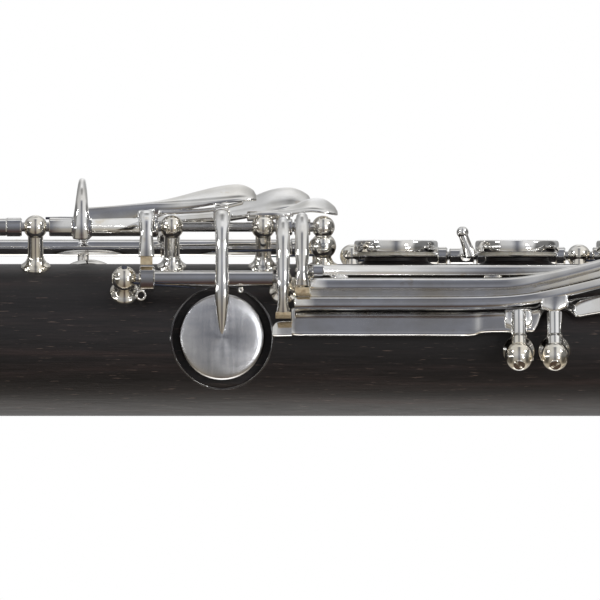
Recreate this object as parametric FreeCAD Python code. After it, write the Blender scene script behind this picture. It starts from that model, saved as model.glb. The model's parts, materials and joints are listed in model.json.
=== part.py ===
import FreeCAD, Part
import math
import os
from FreeCAD import Vector

os.makedirs("parts", exist_ok=True)

# Bass clarinet standing upright on its floor peg. Millimetres.
# The origin is the tip of the floor peg, which runs behind the body; +Z is up.
# "front" is towards -Y (the side the fingers cover), "left" is towards +X (the player's left).

# ---- wooden body ----
BODY_R = 19.0
BORE_R = 11.75
LOWER_Z = (330.0, 800.0)
UPPER_Z = (800.0, 1150.0)
TENON_R = 15.2
TENON_CORK_R = 16.0
TENON_LENGTH = 20.0
SOCKET_CLEARANCE = 0.05
RING_R = 20.4
RING_HEIGHT = 8.0

# ---- hinge tubes, rods and posts ----
ROD_R = 1.2
R1_ROD_R = 0.9
RUNNING_CLEARANCE = 0.05
TUBE_R = 2.0
BALL_R = 3.0
NECK_R = 2.1
FOOT_R = 3.8

# Hinge lines, as (front, left) distances from the body's axis.
ROD_A = (28.2, 8.1)
ROD_B = (23.1, -18.0)
ROD_C = (15.3, 18.8)
ROD_D = (21.0, -15.5)
ROD_R1 = (17.1, 16.8)
TOP_LINE = (19.6, 17.2)

# ---- finger plates and pad cups ----
PLATE_R = 10.5
PLATE_TOP = 25.0
PLATE_RIM = 3.2
PLATE_HOLE_R = 6.4
PAD_THICK = 1.4
CHIMNEY_R = 7.9
CHIMNEY_TOP = 20.7
PLATE_PAD_LOW = 21.2
RIGHT_PLATES_Z = (774.5, 744.25, 714.0)
LEFT_PLATES_Z = (970.0, 938.0, 906.0)
SIDE_CUP = {"z": 670.6, "angle": 87.5, "radius": 10.7}

# ---- floor peg ----
PEG_R = 4.0
PEG_FREE = 120.0
PEG_COLLAR_R = 6.5
PEG_TOP = 312.0
PEG_BEHIND = 29.0

tube_bore = ROD_R + RUNNING_CLEARANCE
nodes = {}


def at(z, front, left):
    """Point at height z, so far in front of the body's axis and so far to the left of it."""
    return Vector(left, -front - PEG_BEHIND, z)


def polar(z, angle, radius):
    """Point at an angle round the body: 0 is the front, 90 the player's left side."""
    turn = math.radians(angle)
    return at(z, radius * math.cos(turn), radius * math.sin(turn))


def outward(angle):
    """Unit vector from the body's axis outwards at an angle round the body."""
    return Vector(math.sin(math.radians(angle)), -math.cos(math.radians(angle)), 0)


def angle_of(line):
    return math.degrees(math.atan2(line[1], line[0]))


def radius_of(line):
    return math.hypot(line[0], line[1])


def cylinder(z0, z1, radius, line=(0.0, 0.0)):
    return Part.makeCylinder(radius, z1 - z0, at(z0, *line), Vector(0, 0, 1))


def tube(z0, z1, outer, inner, line=(0.0, 0.0)):
    return cylinder(z0, z1, outer, line).cut(cylinder(z0 - 1, z1 + 1, inner, line))


def join(shapes):
    """One solid out of touching or overlapping solids."""
    return shapes[0].multiFuse(shapes[1:]).removeSplitter()


def cut_all(shape, tools):
    for tool in tools:
        shape = shape.cut(tool)
    return shape


def group(shapes):
    return Part.makeCompound(shapes)


def revolved(profile, base, axis):
    """Solid of revolution from (distance along the axis, radius) pairs, joined by straight lines."""
    points = [Vector(r, 0, s) for s, r in profile]
    closed = [Vector(0, 0, profile[0][0])] + points + [Vector(0, 0, profile[-1][0])]
    face = Part.Face(Part.makePolygon(closed + [closed[0]]))
    solid = face.revolve(Vector(0, 0, 0), Vector(0, 0, 1), 360)
    placement = FreeCAD.Placement(base, FreeCAD.Rotation(Vector(0, 0, 1), axis))
    solid.transformShape(placement.toMatrix(), True)
    return solid


def swung_arm(path, thickness, z, width):
    """Flat arm in the plane across the body, along a smooth (left, front) path, width wide along Z.
    thickness is (at the start, in the middle, at the end)."""
    curve = Part.BSplineCurve()
    curve.interpolate([at(0, front, left) for left, front in path])
    first, last = curve.FirstParameter, curve.LastParameter
    sides = ([], [])
    steps = 12
    for i in range(steps + 1):
        share = i / steps
        parameter = first + (last - first) * share
        point = curve.value(parameter)
        tangent = curve.tangent(parameter)[0]
        normal = Vector(-tangent.y, tangent.x, 0)
        if share < 0.5:
            half = thickness[0] + (thickness[1] - thickness[0]) * share * 2
        else:
            half = thickness[1] + (thickness[2] - thickness[1]) * (share * 2 - 1)
        sides[0].append(point + normal * half / 2)
        sides[1].append(point - normal * half / 2)
    edges = []
    for side in sides:
        spline = Part.BSplineCurve()
        spline.interpolate(side)
        edges.append(spline.toShape())
    edges.append(Part.makeLine(sides[0][0], sides[1][0]))
    edges.append(Part.makeLine(sides[0][-1], sides[1][-1]))
    face = Part.Face(Part.Wire(Part.__sortEdges__(edges)))
    face.translate(Vector(0, 0, z - width / 2))
    return face.extrude(Vector(0, 0, width))


def between(before, start, end, after, share):
    """Value on a smooth curve through four (z, value) neighbours, at a share of the middle span."""
    span = end[0] - start[0]
    slope_0 = (end[1] - before[1]) / (end[0] - before[0])
    slope_1 = (after[1] - start[1]) / (after[0] - start[0])
    rise = share * share * (3 - 2 * share)
    value = start[1] + (end[1] - start[1]) * rise
    value += slope_0 * span * share * (1 - share) ** 2
    return value - slope_1 * span * share * share * (1 - share)


def resampled(sections, steps):
    """The given sections with smooth ones put in between, steps to each span."""
    ends = [sections[0]] + list(sections) + [sections[-1]]
    smooth = [sections[0]]
    for i in range(1, len(ends) - 2):
        for step in range(1, steps + 1):
            share = step / steps
            z = ends[i][0] + (ends[i + 1][0] - ends[i][0]) * share
            row = [z]
            for column in range(1, len(sections[0])):
                near = [(ends[j][0], ends[j][column]) for j in (i - 1, i, i + 1, i + 2)]
                row.append(between(*near, share))
            smooth.append(row)
    return smooth


def lofted(sections, steps=3):
    """Bar along Z with bevelled edges.
    Each section is (z, front, left, height towards the front, width, lean angle)."""
    wires = []
    for z, front, left, height, width, lean in resampled(sections, steps):
        turn = math.radians(lean)
        up = Vector(math.sin(turn), -math.cos(turn), 0)
        side = Vector(math.cos(turn), math.sin(turn), 0)
        corners = ((-0.5, -0.28), (-0.5, 0.28), (-0.36, 0.5), (0.36, 0.5),
                   (0.5, 0.28), (0.5, -0.28), (0.36, -0.5), (-0.36, -0.5))
        ring = [at(z, front, left) + side * (width * a) + up * (height * b) for a, b in corners]
        wires.append(Part.makePolygon(ring + [ring[0]]))
    return Part.makeLoft(wires, True, True)


def post(z, line, ball=BALL_R, bore=True):
    """Turned post standing on the body, whose ball holds the end of a rod."""
    angle = angle_of(line)
    reach = radius_of(line)
    rise = [(BODY_R - 2.0, FOOT_R), (BODY_R + 0.7, FOOT_R), (BODY_R + 1.5, NECK_R + 0.6)]
    rise += [(BODY_R + 2.2, NECK_R), (reach - ball * 0.5, NECK_R * 0.9)]
    shaft = revolved(rise, at(z, 0, 0), outward(angle))
    head = Part.makeSphere(ball, at(z, *line))
    solid = join([shaft, head]).cut(cylinder(z - 20, z + 20, BODY_R))
    if bore:
        solid = solid.cut(cylinder(z - ball - 1, z + ball + 1, ROD_R + 0.01, line))
    return solid


def rod(z0, z1, line, radius=ROD_R):
    return cylinder(z0, z1, radius, line)


def disc(z, angle, radius, low, high, bevel=0.4):
    """Round plate facing outwards at an angle round the body, between two distances from the axis."""
    profile = [(low, radius), (high - bevel, radius), (high, radius - bevel)]
    return revolved(profile, at(z, 0, 0), outward(angle))


def dished_cup(z, angle, radius, low, height=3.0):
    """Pad cup: a shallow domed saucer whose pad side is hollow."""
    profile = [(low, radius), (low + height * 0.35, radius), (low + height * 0.6, radius * 0.93)]
    profile += [(low + height * 0.85, radius * 0.7), (low + height, radius * 0.3)]
    cup = revolved(profile, at(z, 0, 0), outward(angle))
    return cup.cut(disc(z, angle, radius - 0.6, low - 1.0, low + 0.8, 0.0))


def pad(z, angle, radius, low, cup_low):
    """Pad seated in its cup: it stands a little out of the cup's rim."""
    return disc(z, angle, radius - 0.65, low, cup_low + 0.75, 0.3)


def radial_hole(z, angle, radius, low=5.0, high=60.0):
    return Part.makeCylinder(radius, high - low, polar(z, angle, low), outward(angle))


# ---- tone holes: (z, angle, hole radius, seat radius, pocket radius, seat height from the axis) ----
POCKET_SEAT = 16.3
LOWER_HOLES = [
    (778.0, 68.0, 5.2, 6.4, 9.4),
    (SIDE_CUP["z"], SIDE_CUP["angle"], 7.6, 9.0, 12.4),
    (637.0, -50.0, 5.6, 6.8, 9.6),
    (673.0, -55.0, 5.2, 6.4, 9.2),
    (702.0, -72.0, 5.2, 6.4, 9.2),
    (520.0, -8.0, 7.4, 8.8, 12.0),
    (450.0, -25.0, 7.8, 9.2, 12.6),
]
UPPER_HOLES = [
    (1008.0, 0.0, 3.6, 4.6, 7.4),
    (1034.0, 0.0, 3.6, 4.6, 7.4),
    (1085.0, 180.0, 2.4, 3.4, 6.6),
    (872.0, -85.0, 4.0, 5.0, 7.6),
]


def bored_joint(z_range, holes, plates):
    """Wooden joint with its bore, its sunk pad seats and its raised finger-hole chimneys."""
    low, high = z_range
    wood = cylinder(low, high, BODY_R)
    for z, angle, hole, seat, pocket in holes:
        sunk = Part.makeCylinder(pocket, 20, polar(z, angle, POCKET_SEAT - 1.2), outward(angle))
        wood = wood.cut(sunk)
        chimney = Part.makeCylinder(seat, 3.0, polar(z, angle, POCKET_SEAT - 3.0), outward(angle))
        wood = wood.fuse(chimney)
    for z in plates:
        flared = [(12.0, CHIMNEY_R + 2.6), (18.7, CHIMNEY_R + 2.6), (19.2, CHIMNEY_R + 1.0)]
        flared += [(19.8, CHIMNEY_R), (CHIMNEY_TOP - 0.2, CHIMNEY_R), (CHIMNEY_TOP, CHIMNEY_R - 0.2)]
        wood = wood.fuse(revolved(flared, at(z, 0, 0), outward(0.0)))
    wood = wood.cut(cylinder(low - 1, high + 1, BORE_R))
    for z, angle, hole, seat, pocket in holes:
        wood = wood.cut(radial_hole(z, angle, hole))
    for z in plates:
        wood = wood.cut(radial_hole(z, 0.0, PLATE_HOLE_R))
    return wood


# ---- wooden joints, tenons and rings ----
lower = bored_joint(LOWER_Z, LOWER_HOLES, RIGHT_PLATES_Z)
lower_tenon = tube(LOWER_Z[0] - TENON_LENGTH, LOWER_Z[0], TENON_R, BORE_R)
upper_socket = cylinder(LOWER_Z[1] - TENON_LENGTH - 0.5, LOWER_Z[1] + 1, TENON_CORK_R + SOCKET_CLEARANCE)
nodes["lower_joint"] = join([lower, lower_tenon]).cut(upper_socket)

upper = bored_joint(UPPER_Z, UPPER_HOLES, LEFT_PLATES_Z)
upper_tenon = tube(UPPER_Z[0] - TENON_LENGTH, UPPER_Z[0], TENON_R, BORE_R)
neck_socket = cylinder(UPPER_Z[1] - TENON_LENGTH - 0.5, UPPER_Z[1] + 1, TENON_CORK_R + SOCKET_CLEARANCE)
nodes["upper_joint"] = join([upper, upper_tenon]).cut(neck_socket)

tenon_corks = [tube(z - 17, z - 3, TENON_CORK_R, TENON_R) for z in (LOWER_Z[0], UPPER_Z[0])]


def joint_ring(z0, z1):
    profile = [(z0, RING_R - 0.6), (z0 + 0.6, RING_R), (z1 - 0.6, RING_R), (z1, RING_R - 0.6)]
    ring = revolved(profile, at(0, 0, 0), Vector(0, 0, 1))
    return ring.cut(cylinder(z0 - 1, z1 + 1, BODY_R))


nodes["joint_rings"] = group([
    joint_ring(LOWER_Z[0], LOWER_Z[0] + RING_HEIGHT),
    joint_ring(LOWER_Z[1] - RING_HEIGHT, LOWER_Z[1]),
    joint_ring(UPPER_Z[0], UPPER_Z[0] + RING_HEIGHT),
    joint_ring(UPPER_Z[1] - RING_HEIGHT, UPPER_Z[1]),
])

# ---- bell: a bow that turns forwards and up, ending in a flare ----
BELL_WALL = 0.9
BOW_R = 52.0
BOW_TILT = 22.0
BOW_Z = 262.0
BELL_TOP = LOWER_Z[0]
BELL_SOCKET_Z = BELL_TOP - TENON_LENGTH - 1.0
BOW_START_R = 18.0
BOW_END_R = 26.5
BELL_RIM_R = 66.0
FLARE_LENGTH = 77.0
FLARE_START = 6.0
FLARE_CURVE = 2.3


def bow_stations():
    """Centre line of the bow: (point, direction, outer radius) from the socket round to the flare."""
    stations = [(at(BELL_SOCKET_Z, 0, 0), Vector(0, 0, -1), 16.6)]
    stations.append((at(BOW_Z, 0, 0), Vector(0, 0, -1), BOW_START_R))
    turns = 12
    for i in range(1, turns + 1):
        turn = math.radians((180.0 - BOW_TILT) * i / turns)
        point = at(BOW_Z - BOW_R * math.sin(turn), BOW_R * (1 - math.cos(turn)), 0)
        direction = Vector(0, -math.sin(turn), -math.cos(turn))
        stations.append((point, direction, BOW_START_R + (BOW_END_R - BOW_START_R) * (i / turns) ** 1.5))
    return stations


def flare_stations():
    """Centre line of the flare, from the end of the bow to the mouth."""
    point, direction, radius = bow_stations()[-1]
    steps = 9
    stations = []
    for i in range(steps + 1):
        share = i / steps
        opened = (BELL_RIM_R - BOW_END_R - FLARE_START) * share ** FLARE_CURVE
        widened = BOW_END_R + FLARE_START * share + opened
        stations.append((point + direction * FLARE_LENGTH * share, direction, widened))
    return stations


def swept(stations, shrink, extra):
    """Solid through round sections; extra lengthens it at both ends, so that a bore comes out clear."""
    if extra:
        first, last = stations[0], stations[-1]
        stations = [(first[0] - first[1] * extra, *first[1:])] + stations
        stations.append((last[0] + last[1] * extra, *last[1:]))
    wires = [Part.Wire(Part.makeCircle(r - shrink, p, d)) for p, d, r in stations]
    return Part.makeLoft(wires, True, True)


def shell(stations, wall):
    return swept(stations, 0.0, 0.0).cut(swept(stations, wall, 3.0))


mouth, mouth_axis, mouth_r = flare_stations()[-1]
bell_socket = tube(BELL_SOCKET_Z, BELL_TOP, RING_R, TENON_CORK_R + SOCKET_CLEARANCE)
nodes["bell_bow"] = join([shell(bow_stations(), BELL_WALL), bell_socket])
nodes["bell"] = shell(flare_stations(), BELL_WALL)
rim = Part.makeTorus(mouth_r + 0.8, 1.5, mouth - mouth_axis * 1.6, mouth_axis)
nodes["bell_rim"] = rim.cut(swept(flare_stations(), 0.0, 0.0))

# ---- floor peg, its holder on the back of the bell and its thumb-screw ----
HOLDER_Z = (272.0, 300.0)
HOLDER_R = 7.5
SCREW_Z = 286.0
PEG_LINE = (-PEG_BEHIND, 0.0)

holder_height = HOLDER_Z[1] - HOLDER_Z[0]
holder_web = Part.makeBox(9.0, PEG_BEHIND - 12.0, holder_height, Vector(-4.5, 12.0 - PEG_BEHIND, HOLDER_Z[0]))
holder_boss = Part.makeCylinder(4.6, 8.0, Vector(6.0, 0, SCREW_Z), Vector(1, 0, 0))
holder = join([cylinder(*HOLDER_Z, HOLDER_R, PEG_LINE), holder_web, holder_boss])
holder = holder.cut(cylinder(HOLDER_Z[0] - 1, HOLDER_Z[1] + 1, PEG_R + RUNNING_CLEARANCE, PEG_LINE))
holder = holder.cut(Part.makeCylinder(2.05, 16.0, Vector(3.0, 0, SCREW_Z), Vector(1, 0, 0)))
nodes["peg_holder"] = holder.cut(swept(bow_stations(), 0.0, 0.0))

peg = cylinder(0.0, PEG_TOP - 1.0, PEG_R, PEG_LINE)
peg_end = Part.makeCone(PEG_R, PEG_R - 1.0, 1.0, Vector(0, 0, PEG_TOP - 1.0))
collar = [(PEG_FREE, PEG_COLLAR_R - 1), (PEG_FREE + 1, PEG_COLLAR_R), (PEG_FREE + 7, PEG_COLLAR_R)]
collar.append((PEG_FREE + 8, PEG_COLLAR_R - 1))
nodes["floor_peg"] = join([peg, peg_end, revolved(collar, Vector(0, 0, 0), Vector(0, 0, 1))])

screw = [(4.3, 2.0), (14.6, 2.0), (14.6, 6.0), (16.0, 7.5), (19.0, 7.5), (20.0, 6.5)]
wing = Part.makeBox(9.0, 2.4, 20.0, Vector(18.0, -1.2, SCREW_Z - 10.0))
nodes["peg_thumbscrew"] = join([revolved(screw, Vector(0, 0, SCREW_Z), Vector(1, 0, 0)), wing])

# ---- thumb rest at the back of the lower joint, strap ring at the back of the upper joint ----
REST_Z = 779.0
REST_WIDTH = 16.0
REST_HALF = 12.5
STRAP_Z = 822.0
STRAP_HOLE_R = 5.0
STRAP_WIRE = 2.4
STRAP_THICK = 3.0

rest_plate = Part.makeBox(REST_WIDTH, 4.5, 2 * REST_HALF, at(REST_Z - REST_HALF, -17.0, -REST_WIDTH / 2))
shelf = Part.makeBox(REST_WIDTH, 25.0, 3.0, at(REST_Z + 4.0, -20.0, -REST_WIDTH / 2))
hook = Part.makeBox(REST_WIDTH, 3.0, 10.0, at(REST_Z - 3.0, -42.0, -REST_WIDTH / 2))
nodes["thumb_rest"] = join([rest_plate, shelf, hook]).cut(cylinder(REST_Z - 40, REST_Z + 40, BODY_R))

ring_centre = at(STRAP_Z, -(BODY_R + 2.0 + STRAP_HOLE_R + STRAP_WIRE), 0)
ring_side = Vector(STRAP_THICK / 2, 0, 0)
ring = Part.makeCylinder(STRAP_HOLE_R + STRAP_WIRE, STRAP_THICK, ring_centre - ring_side, Vector(1, 0, 0))
ring_base = Part.makeBox(9.0, 5.0, 22.0, at(STRAP_Z - 11.0, -17.0, -4.5))
strap = join([ring, ring_base]).cut(cylinder(STRAP_Z - 20, STRAP_Z + 20, BODY_R))
ring_bore = Part.makeCylinder(STRAP_HOLE_R, 20, ring_centre - Vector(10, 0, 0), Vector(1, 0, 0))
nodes["strap_ring"] = strap.cut(ring_bore)

# ---- neck, mouthpiece, reed and ligature ----
NECK_RISE = 22.0
NECK_BEND_R = 42.0
NECK_TURN = 78.0
NECK_RUN = 46.0
NECK_WALL = 1.0
NECK_CORK_R = 11.6
NECK_START_R = 13.2
NECK_END_R = 10.2
MOUTHPIECE_LENGTH = 88.0
MOUTHPIECE_R = 14.6
MOUTHPIECE_GRIP = 22.0


def neck_stations():
    """Centre line of the bent tube: (point, direction, outer radius) from the collar to the mouthpiece."""
    top = UPPER_Z[1]
    stations = [(at(top + 2.0, 0, 0), Vector(0, 0, 1), NECK_START_R + 0.2)]
    stations.append((at(top + NECK_RISE, 0, 0), Vector(0, 0, 1), NECK_START_R))
    turns = 6
    for i in range(1, turns + 1):
        turn = math.radians(NECK_TURN * i / turns)
        point = at(top + NECK_RISE + NECK_BEND_R * math.sin(turn), -NECK_BEND_R * (1 - math.cos(turn)), 0)
        direction = Vector(0, math.sin(turn), math.cos(turn))
        stations.append((point, direction, NECK_START_R - (NECK_START_R - NECK_END_R) * i / turns))
    point, direction, radius = stations[-1]
    for share in (0.5, 1.0):
        stations.append((point + direction * NECK_RUN * share, direction, NECK_END_R))
    return stations


neck_tip, mouth_line = neck_stations()[-1][:2]
neck_low = UPPER_Z[1] - TENON_LENGTH
neck_top = UPPER_Z[1]
neck_foot = [(neck_low, 15.0), (neck_top + 0.2, 15.0), (neck_top + 0.2, 19.0), (neck_top + 4.6, 19.0)]
neck_foot += [(neck_top + 6.0, 17.6), (neck_top + 7.0, 14.2)]
neck_base = revolved(neck_foot, at(0, 0, 0), Vector(0, 0, 1)).cut(cylinder(neck_low - 1, neck_top + 8, 12.9))
neck_tube = shell(neck_stations(), NECK_WALL)
nodes["neck"] = join([neck_tube, neck_base])
tenon_corks.append(tube(neck_top - 17, neck_top - 3, TENON_CORK_R, 15.0))

cork_start = neck_tip - mouth_line * MOUTHPIECE_GRIP
neck_cork = Part.makeCylinder(NECK_CORK_R, MOUTHPIECE_GRIP - 1, cork_start, mouth_line)
neck_core = Part.makeCylinder(NECK_END_R, 60, cork_start - mouth_line * 5, mouth_line)
tenon_corks.append(neck_cork.cut(neck_core))
nodes["tenon_corks"] = group(tenon_corks)

# The mouthpiece's own frame: s runs from its socket to its tip, "lay" is the side the reed lies on.
mouthpiece_start = neck_tip - mouth_line * (MOUTHPIECE_GRIP - 2.0)
lay = Vector(0, mouth_line.z, -mouth_line.y)


def mouth_point(s, towards_lay, across):
    return mouthpiece_start + mouth_line * s + lay * towards_lay + Vector(across, 0, 0)


def mouth_plate(outline, width):
    """Plate of the given width across the mouthpiece, from (s, towards the lay) corners."""
    corners = [mouth_point(s, low, -width / 2) for s, low in outline]
    return Part.Face(Part.makePolygon(corners + [corners[0]])).extrude(Vector(width, 0, 0))


LAY_DEPTH = 11.2
TIP_S = MOUTHPIECE_LENGTH
SOCKET_REACH = MOUTHPIECE_GRIP + 0.5
beak = [(0.0, 15.4), (1.2, 16.0), (6.0, 16.0), (7.0, 15.0)]
beak += [(40.0, MOUTHPIECE_R), (60.0, 13.6), (TIP_S, 11.4)]
nodes["mouthpiece"] = cut_all(revolved(beak, mouthpiece_start, mouth_line), [
    mouth_plate([(34, LAY_DEPTH), (TIP_S + 1, LAY_DEPTH - 0.4), (TIP_S + 1, 30), (34, 30)], 60),
    mouth_plate([(46, -16), (TIP_S, LAY_DEPTH - 2.6), (TIP_S + 1, -40), (46, -40)], 60),
    Part.makeCylinder(NECK_CORK_R + SOCKET_CLEARANCE, SOCKET_REACH, mouth_point(-0.5, 0, 0), mouth_line),
    Part.makeCylinder(9.0, 30, mouth_point(20, 0, 0), mouth_line),
    mouth_plate([(49, -4), (TIP_S - 3, LAY_DEPTH - 2.2), (TIP_S - 3, 20), (49, 20)], 11.0),
])

REED_WIDTH = 14.0
reed = mouth_plate([(34.5, LAY_DEPTH + 0.05), (TIP_S, LAY_DEPTH + 0.05), (TIP_S, LAY_DEPTH + 0.25),
                    (60, LAY_DEPTH + 2.6), (34.5, LAY_DEPTH + 3.0)], REED_WIDTH)
nodes["reed"] = reed.common(Part.makeCylinder(15.1, 120, mouth_point(0, 0, 0), mouth_line))

LIGATURE_S = (30.0, 56.0)
LIGATURE_SCREWS_S = (37.0, 49.0)
band = Part.makeCylinder(16.2, LIGATURE_S[1] - LIGATURE_S[0], mouth_point(LIGATURE_S[0], 0, 0), mouth_line)
band = band.cut(Part.makeCylinder(15.3, 60, mouth_point(15, 0, 0), mouth_line))
LIGATURE_SCREW_R = 1.5
LUG_CENTRE = 18.6


def ligature_lug(s):
    return mouth_plate([(s - 3, 15.5), (s + 3, 15.5), (s + 3, 21), (s - 3, 21)], 12)


def ligature_screw_hole(s):
    start = mouth_point(s, LUG_CENTRE, -20)
    return Part.makeCylinder(LIGATURE_SCREW_R + RUNNING_CLEARANCE, 40, start, Vector(1, 0, 0))


def ligature_screw(s):
    profile = [(-9.0, LIGATURE_SCREW_R), (7.5, LIGATURE_SCREW_R), (7.5, 3.6), (8.3, 4.2), (12.6, 4.2), (13.4, 3.4)]
    return revolved(profile, mouth_point(s, LUG_CENTRE, 0), Vector(1, 0, 0))


lugs = [ligature_lug(s) for s in LIGATURE_SCREWS_S]
nodes["ligature"] = cut_all(join([band] + lugs), [ligature_screw_hole(s) for s in LIGATURE_SCREWS_S])


nodes["ligature_screws"] = group([ligature_screw(s) for s in LIGATURE_SCREWS_S])

# ---- posts and rods on the lower joint ----
POST_I_Z = 695.8
post_i = join([post(POST_I_Z, ROD_A, 2.8), Part.makeSphere(3.2, polar(POST_I_Z, angle_of(ROD_A), 24.4))])
post_i = post_i.cut(cylinder(POST_I_Z - 9, POST_I_Z + 9, ROD_R + 0.01, ROD_A))

lower_posts = [post(z, ROD_A) for z in (433.0, 624.0, 658.0, 680.8)] + [post_i]
lower_posts += [post(z, ROD_B) for z in (497.0, 695.0)]
lower_posts += [post(646.3, ROD_C, 3.1), post(686.0, ROD_C, 2.0)]
lower_posts += [post(690.6, ROD_R1, 1.9), post(787.5, ROD_R1, 2.2)]
lower_posts += [post(z, ROD_D) for z in (703.0, 760.0, 787.5)]
nodes["lower_joint_rods"] = group([
    rod(431.0, 696.8, ROD_A), rod(495.0, 697.0, ROD_B), rod(644.5, 687.5, ROD_C),
    rod(689.2, 789.0, ROD_R1, R1_ROD_R), rod(701.2, 789.6, ROD_D),
])

# See-saw pivots of the left-hand levers: a ball at the foot of a slanting tube.
SEESAW_ANGLE = 60.0
SEESAW_BALL_R = 3.6
SEESAW_BALL = (-4.0, 28.4)
SEESAW_Z = (744.4, 753.3)
SEESAW_TUBE = (5.7, 12.4)
seesaw_turn = math.radians(SEESAW_ANGLE)
seesaw_axis = Vector(-math.cos(seesaw_turn), -math.sin(seesaw_turn), 0)


def seesaw_post(z):
    ball = Part.makeSphere(SEESAW_BALL_R, at(z, *SEESAW_BALL))
    profile = [(17.0, 4.0), (20.2, 4.0), (20.9, 2.8), (22.5, 2.2), (27.0, 2.1)]
    shaft = revolved(profile, at(z, 0, 0), outward(angle_of(SEESAW_BALL)))
    sleeve = seesaw_tube(z, 0.0, SEESAW_TUBE[0] - 0.35, TUBE_R)
    drilled = Part.makeCylinder(ROD_R + 0.01, 30, at(z, *SEESAW_BALL) - seesaw_axis * 3.0, seesaw_axis)
    return join([ball, shaft, sleeve]).cut(cylinder(z - 9, z + 9, BODY_R)).cut(drilled)


def seesaw_screw(z):
    """Pivot screw: its head sits in the ball and its shank carries the lever's tube."""
    return Part.makeCylinder(ROD_R, 14.8, at(z, *SEESAW_BALL) - seesaw_axis * 2.9, seesaw_axis)


def seesaw_tube(z, low, high, radius):
    return Part.makeCylinder(radius, high - low, at(z, *SEESAW_BALL) + seesaw_axis * low, seesaw_axis)


nodes["lower_joint_posts"] = group(lower_posts + [seesaw_post(z) for z in SEESAW_Z])
nodes["lever_pivot_screws"] = group([seesaw_screw(z) for z in SEESAW_Z])

# ---- keys of the lower joint ----
SEAT_GAP = 0.35
closed_low = POCKET_SEAT + SEAT_GAP

# How far each key that stands open turns to close, in degrees.
LOW_F_TRAVEL = 3.8
LOW_E_TRAVEL = 6.2
LOW_E_FLAT_TRAVEL = 5.4
SHARP_TRAVEL = 3.6


def keyed(shapes, line, z0, z1):
    """One key: its hinge tube, joined to its arms and touches, with the bore for its rod left clear."""
    whole = join([cylinder(z0, z1, TUBE_R, line)] + shapes)
    return whole.cut(cylinder(z0 - 1, z1 + 1, tube_bore, line))


def cup_pair(z, angle, radius, low):
    """Pad cup and its pad, the pad's face at the given distance from the body's axis."""
    return dished_cup(z, angle, radius, low + PAD_THICK), pad(z, angle, radius, low, low + PAD_THICK)


def closed_pad(z, angle, radius):
    return pad(z, angle, radius, closed_low, closed_low + PAD_THICK)


def open_pair(z, angle, radius, line, travel):
    """Cup and pad of a key that stands open: flat on the seat when closed, swung back about the hinge."""
    pair = cup_pair(z, angle, radius, closed_low)
    for shape in pair:
        shape.rotate(at(0, *line), Vector(0, 0, 1), travel)
    return pair


# Side cup, with the long arm that crosses in front of its hinge.
side_cup, nodes["side_cup_pad"] = cup_pair(SIDE_CUP["z"], SIDE_CUP["angle"], SIDE_CUP["radius"], closed_low)
side_path = [(0.2, 30.9), (4.4, 31.6), (9.0, 31.8), (14.0, 30.6), (18.4, 27.4), (21.4, 22.4)]
side_path += [(22.6, 15.3), (22.2, 9.0), (20.4, 1.6)]
side_arm = swung_arm(side_path, (1.1, 2.6, 1.4), SIDE_CUP["z"], 3.5)
side_web = swung_arm([(18.8, 15.3), (20.4, 15.3), (22.6, 15.3)], (3.0, 3.0, 3.0), SIDE_CUP["z"], 3.5)
side_collar = cylinder(649.9, 653.9, 3.2, ROD_C)
nodes["side_cup_key"] = keyed([side_arm, side_web, side_cup, side_collar], ROD_C, 649.9, 683.4)

# Low F key: spatula 1, the blade that arches over to the far cup, and its stop arm.
f_cup, nodes["low_f_pad"] = open_pair(637.0, -50.0, 8.4, ROD_A, LOW_F_TRAVEL)
blade_path = [(8.1, 28.2), (6.0, 34.0), (-1.0, 38.6), (-10.0, 39.0), (-19.5, 34.5), (-24.4, 26.5)]
blade_path += [(-22.8, 18.4), (-17.2, 13.8)]
blade = swung_arm(blade_path, (4.2, 2.4, 1.6), 635.5, 2.6)
stop_path = [(8.1, 28.2), (11.0, 31.2), (15.6, 30.8), (19.2, 27.0), (20.2, 21.0)]
stop_arm = swung_arm(stop_path, (3.6, 2.6, 2.0), 651.8, 3.1)
spatula_1 = lofted([
    (638.0, 29.2, 8.1, 6.5, 3.6, 0), (643.0, 31.0, 7.6, 3.6, 5.0, 0), (652.5, 33.4, 6.4, 1.8, 7.0, 0),
    (662.0, 34.2, 5.4, 2.6, 9.0, 0), (670.0, 36.3, 5.0, 3.2, 11.0, 0), (675.0, 37.2, 5.0, 2.8, 11.0, 0),
    (679.0, 37.2, 5.0, 1.2, 5.0, 0),
])
nodes["low_f_key"] = keyed([blade, stop_arm, spatula_1, f_cup], ROD_A, 627.4, 654.6)
nodes["low_f_stop_cork"] = Part.makeBox(2.2, 1.9, 3.0, at(650.3, 20.7, 19.1))

# Low E key: spatula 2 on the far hinge, its bridge, and the tab that works the side cup's arm.
e_cup, nodes["low_e_pad"] = open_pair(520.0, -8.0, 10.4, ROD_B, -LOW_E_TRAVEL)
e_arm = swung_arm([(-18.0, 23.1), (-12.0, 25.0), (-3.0, 21.8)], (3.4, 2.6, 2.0), 520.0, 5.0)
spatula_2 = lofted([
    (653.8, 28.6, -9.5, 4.4, 3.6, 0), (665.0, 29.0, -8.0, 5.0, 7.0, 0), (675.0, 31.2, -7.5, 4.6, 10.0, 0),
    (682.0, 34.3, -7.5, 4.2, 12.0, 0), (687.0, 35.8, -7.5, 3.0, 12.0, 0), (692.8, 35.3, -7.5, 1.2, 6.0, 0),
])
e_bridge_path = [(-18.0, 23.1), (-16.5, 26.6), (-12.0, 28.8), (-8.0, 29.0)]
e_bridge = swung_arm(e_bridge_path, (4.0, 3.0, 2.6), 657.0, 6.0)
e_tab_path = [(-8.0, 30.6), (-4.6, 32.5), (-2.0, 33.2), (0.8, 33.25)]
e_tab = swung_arm(e_tab_path, (2.4, 1.7, 1.1), SIDE_CUP["z"], 4.0)
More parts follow.
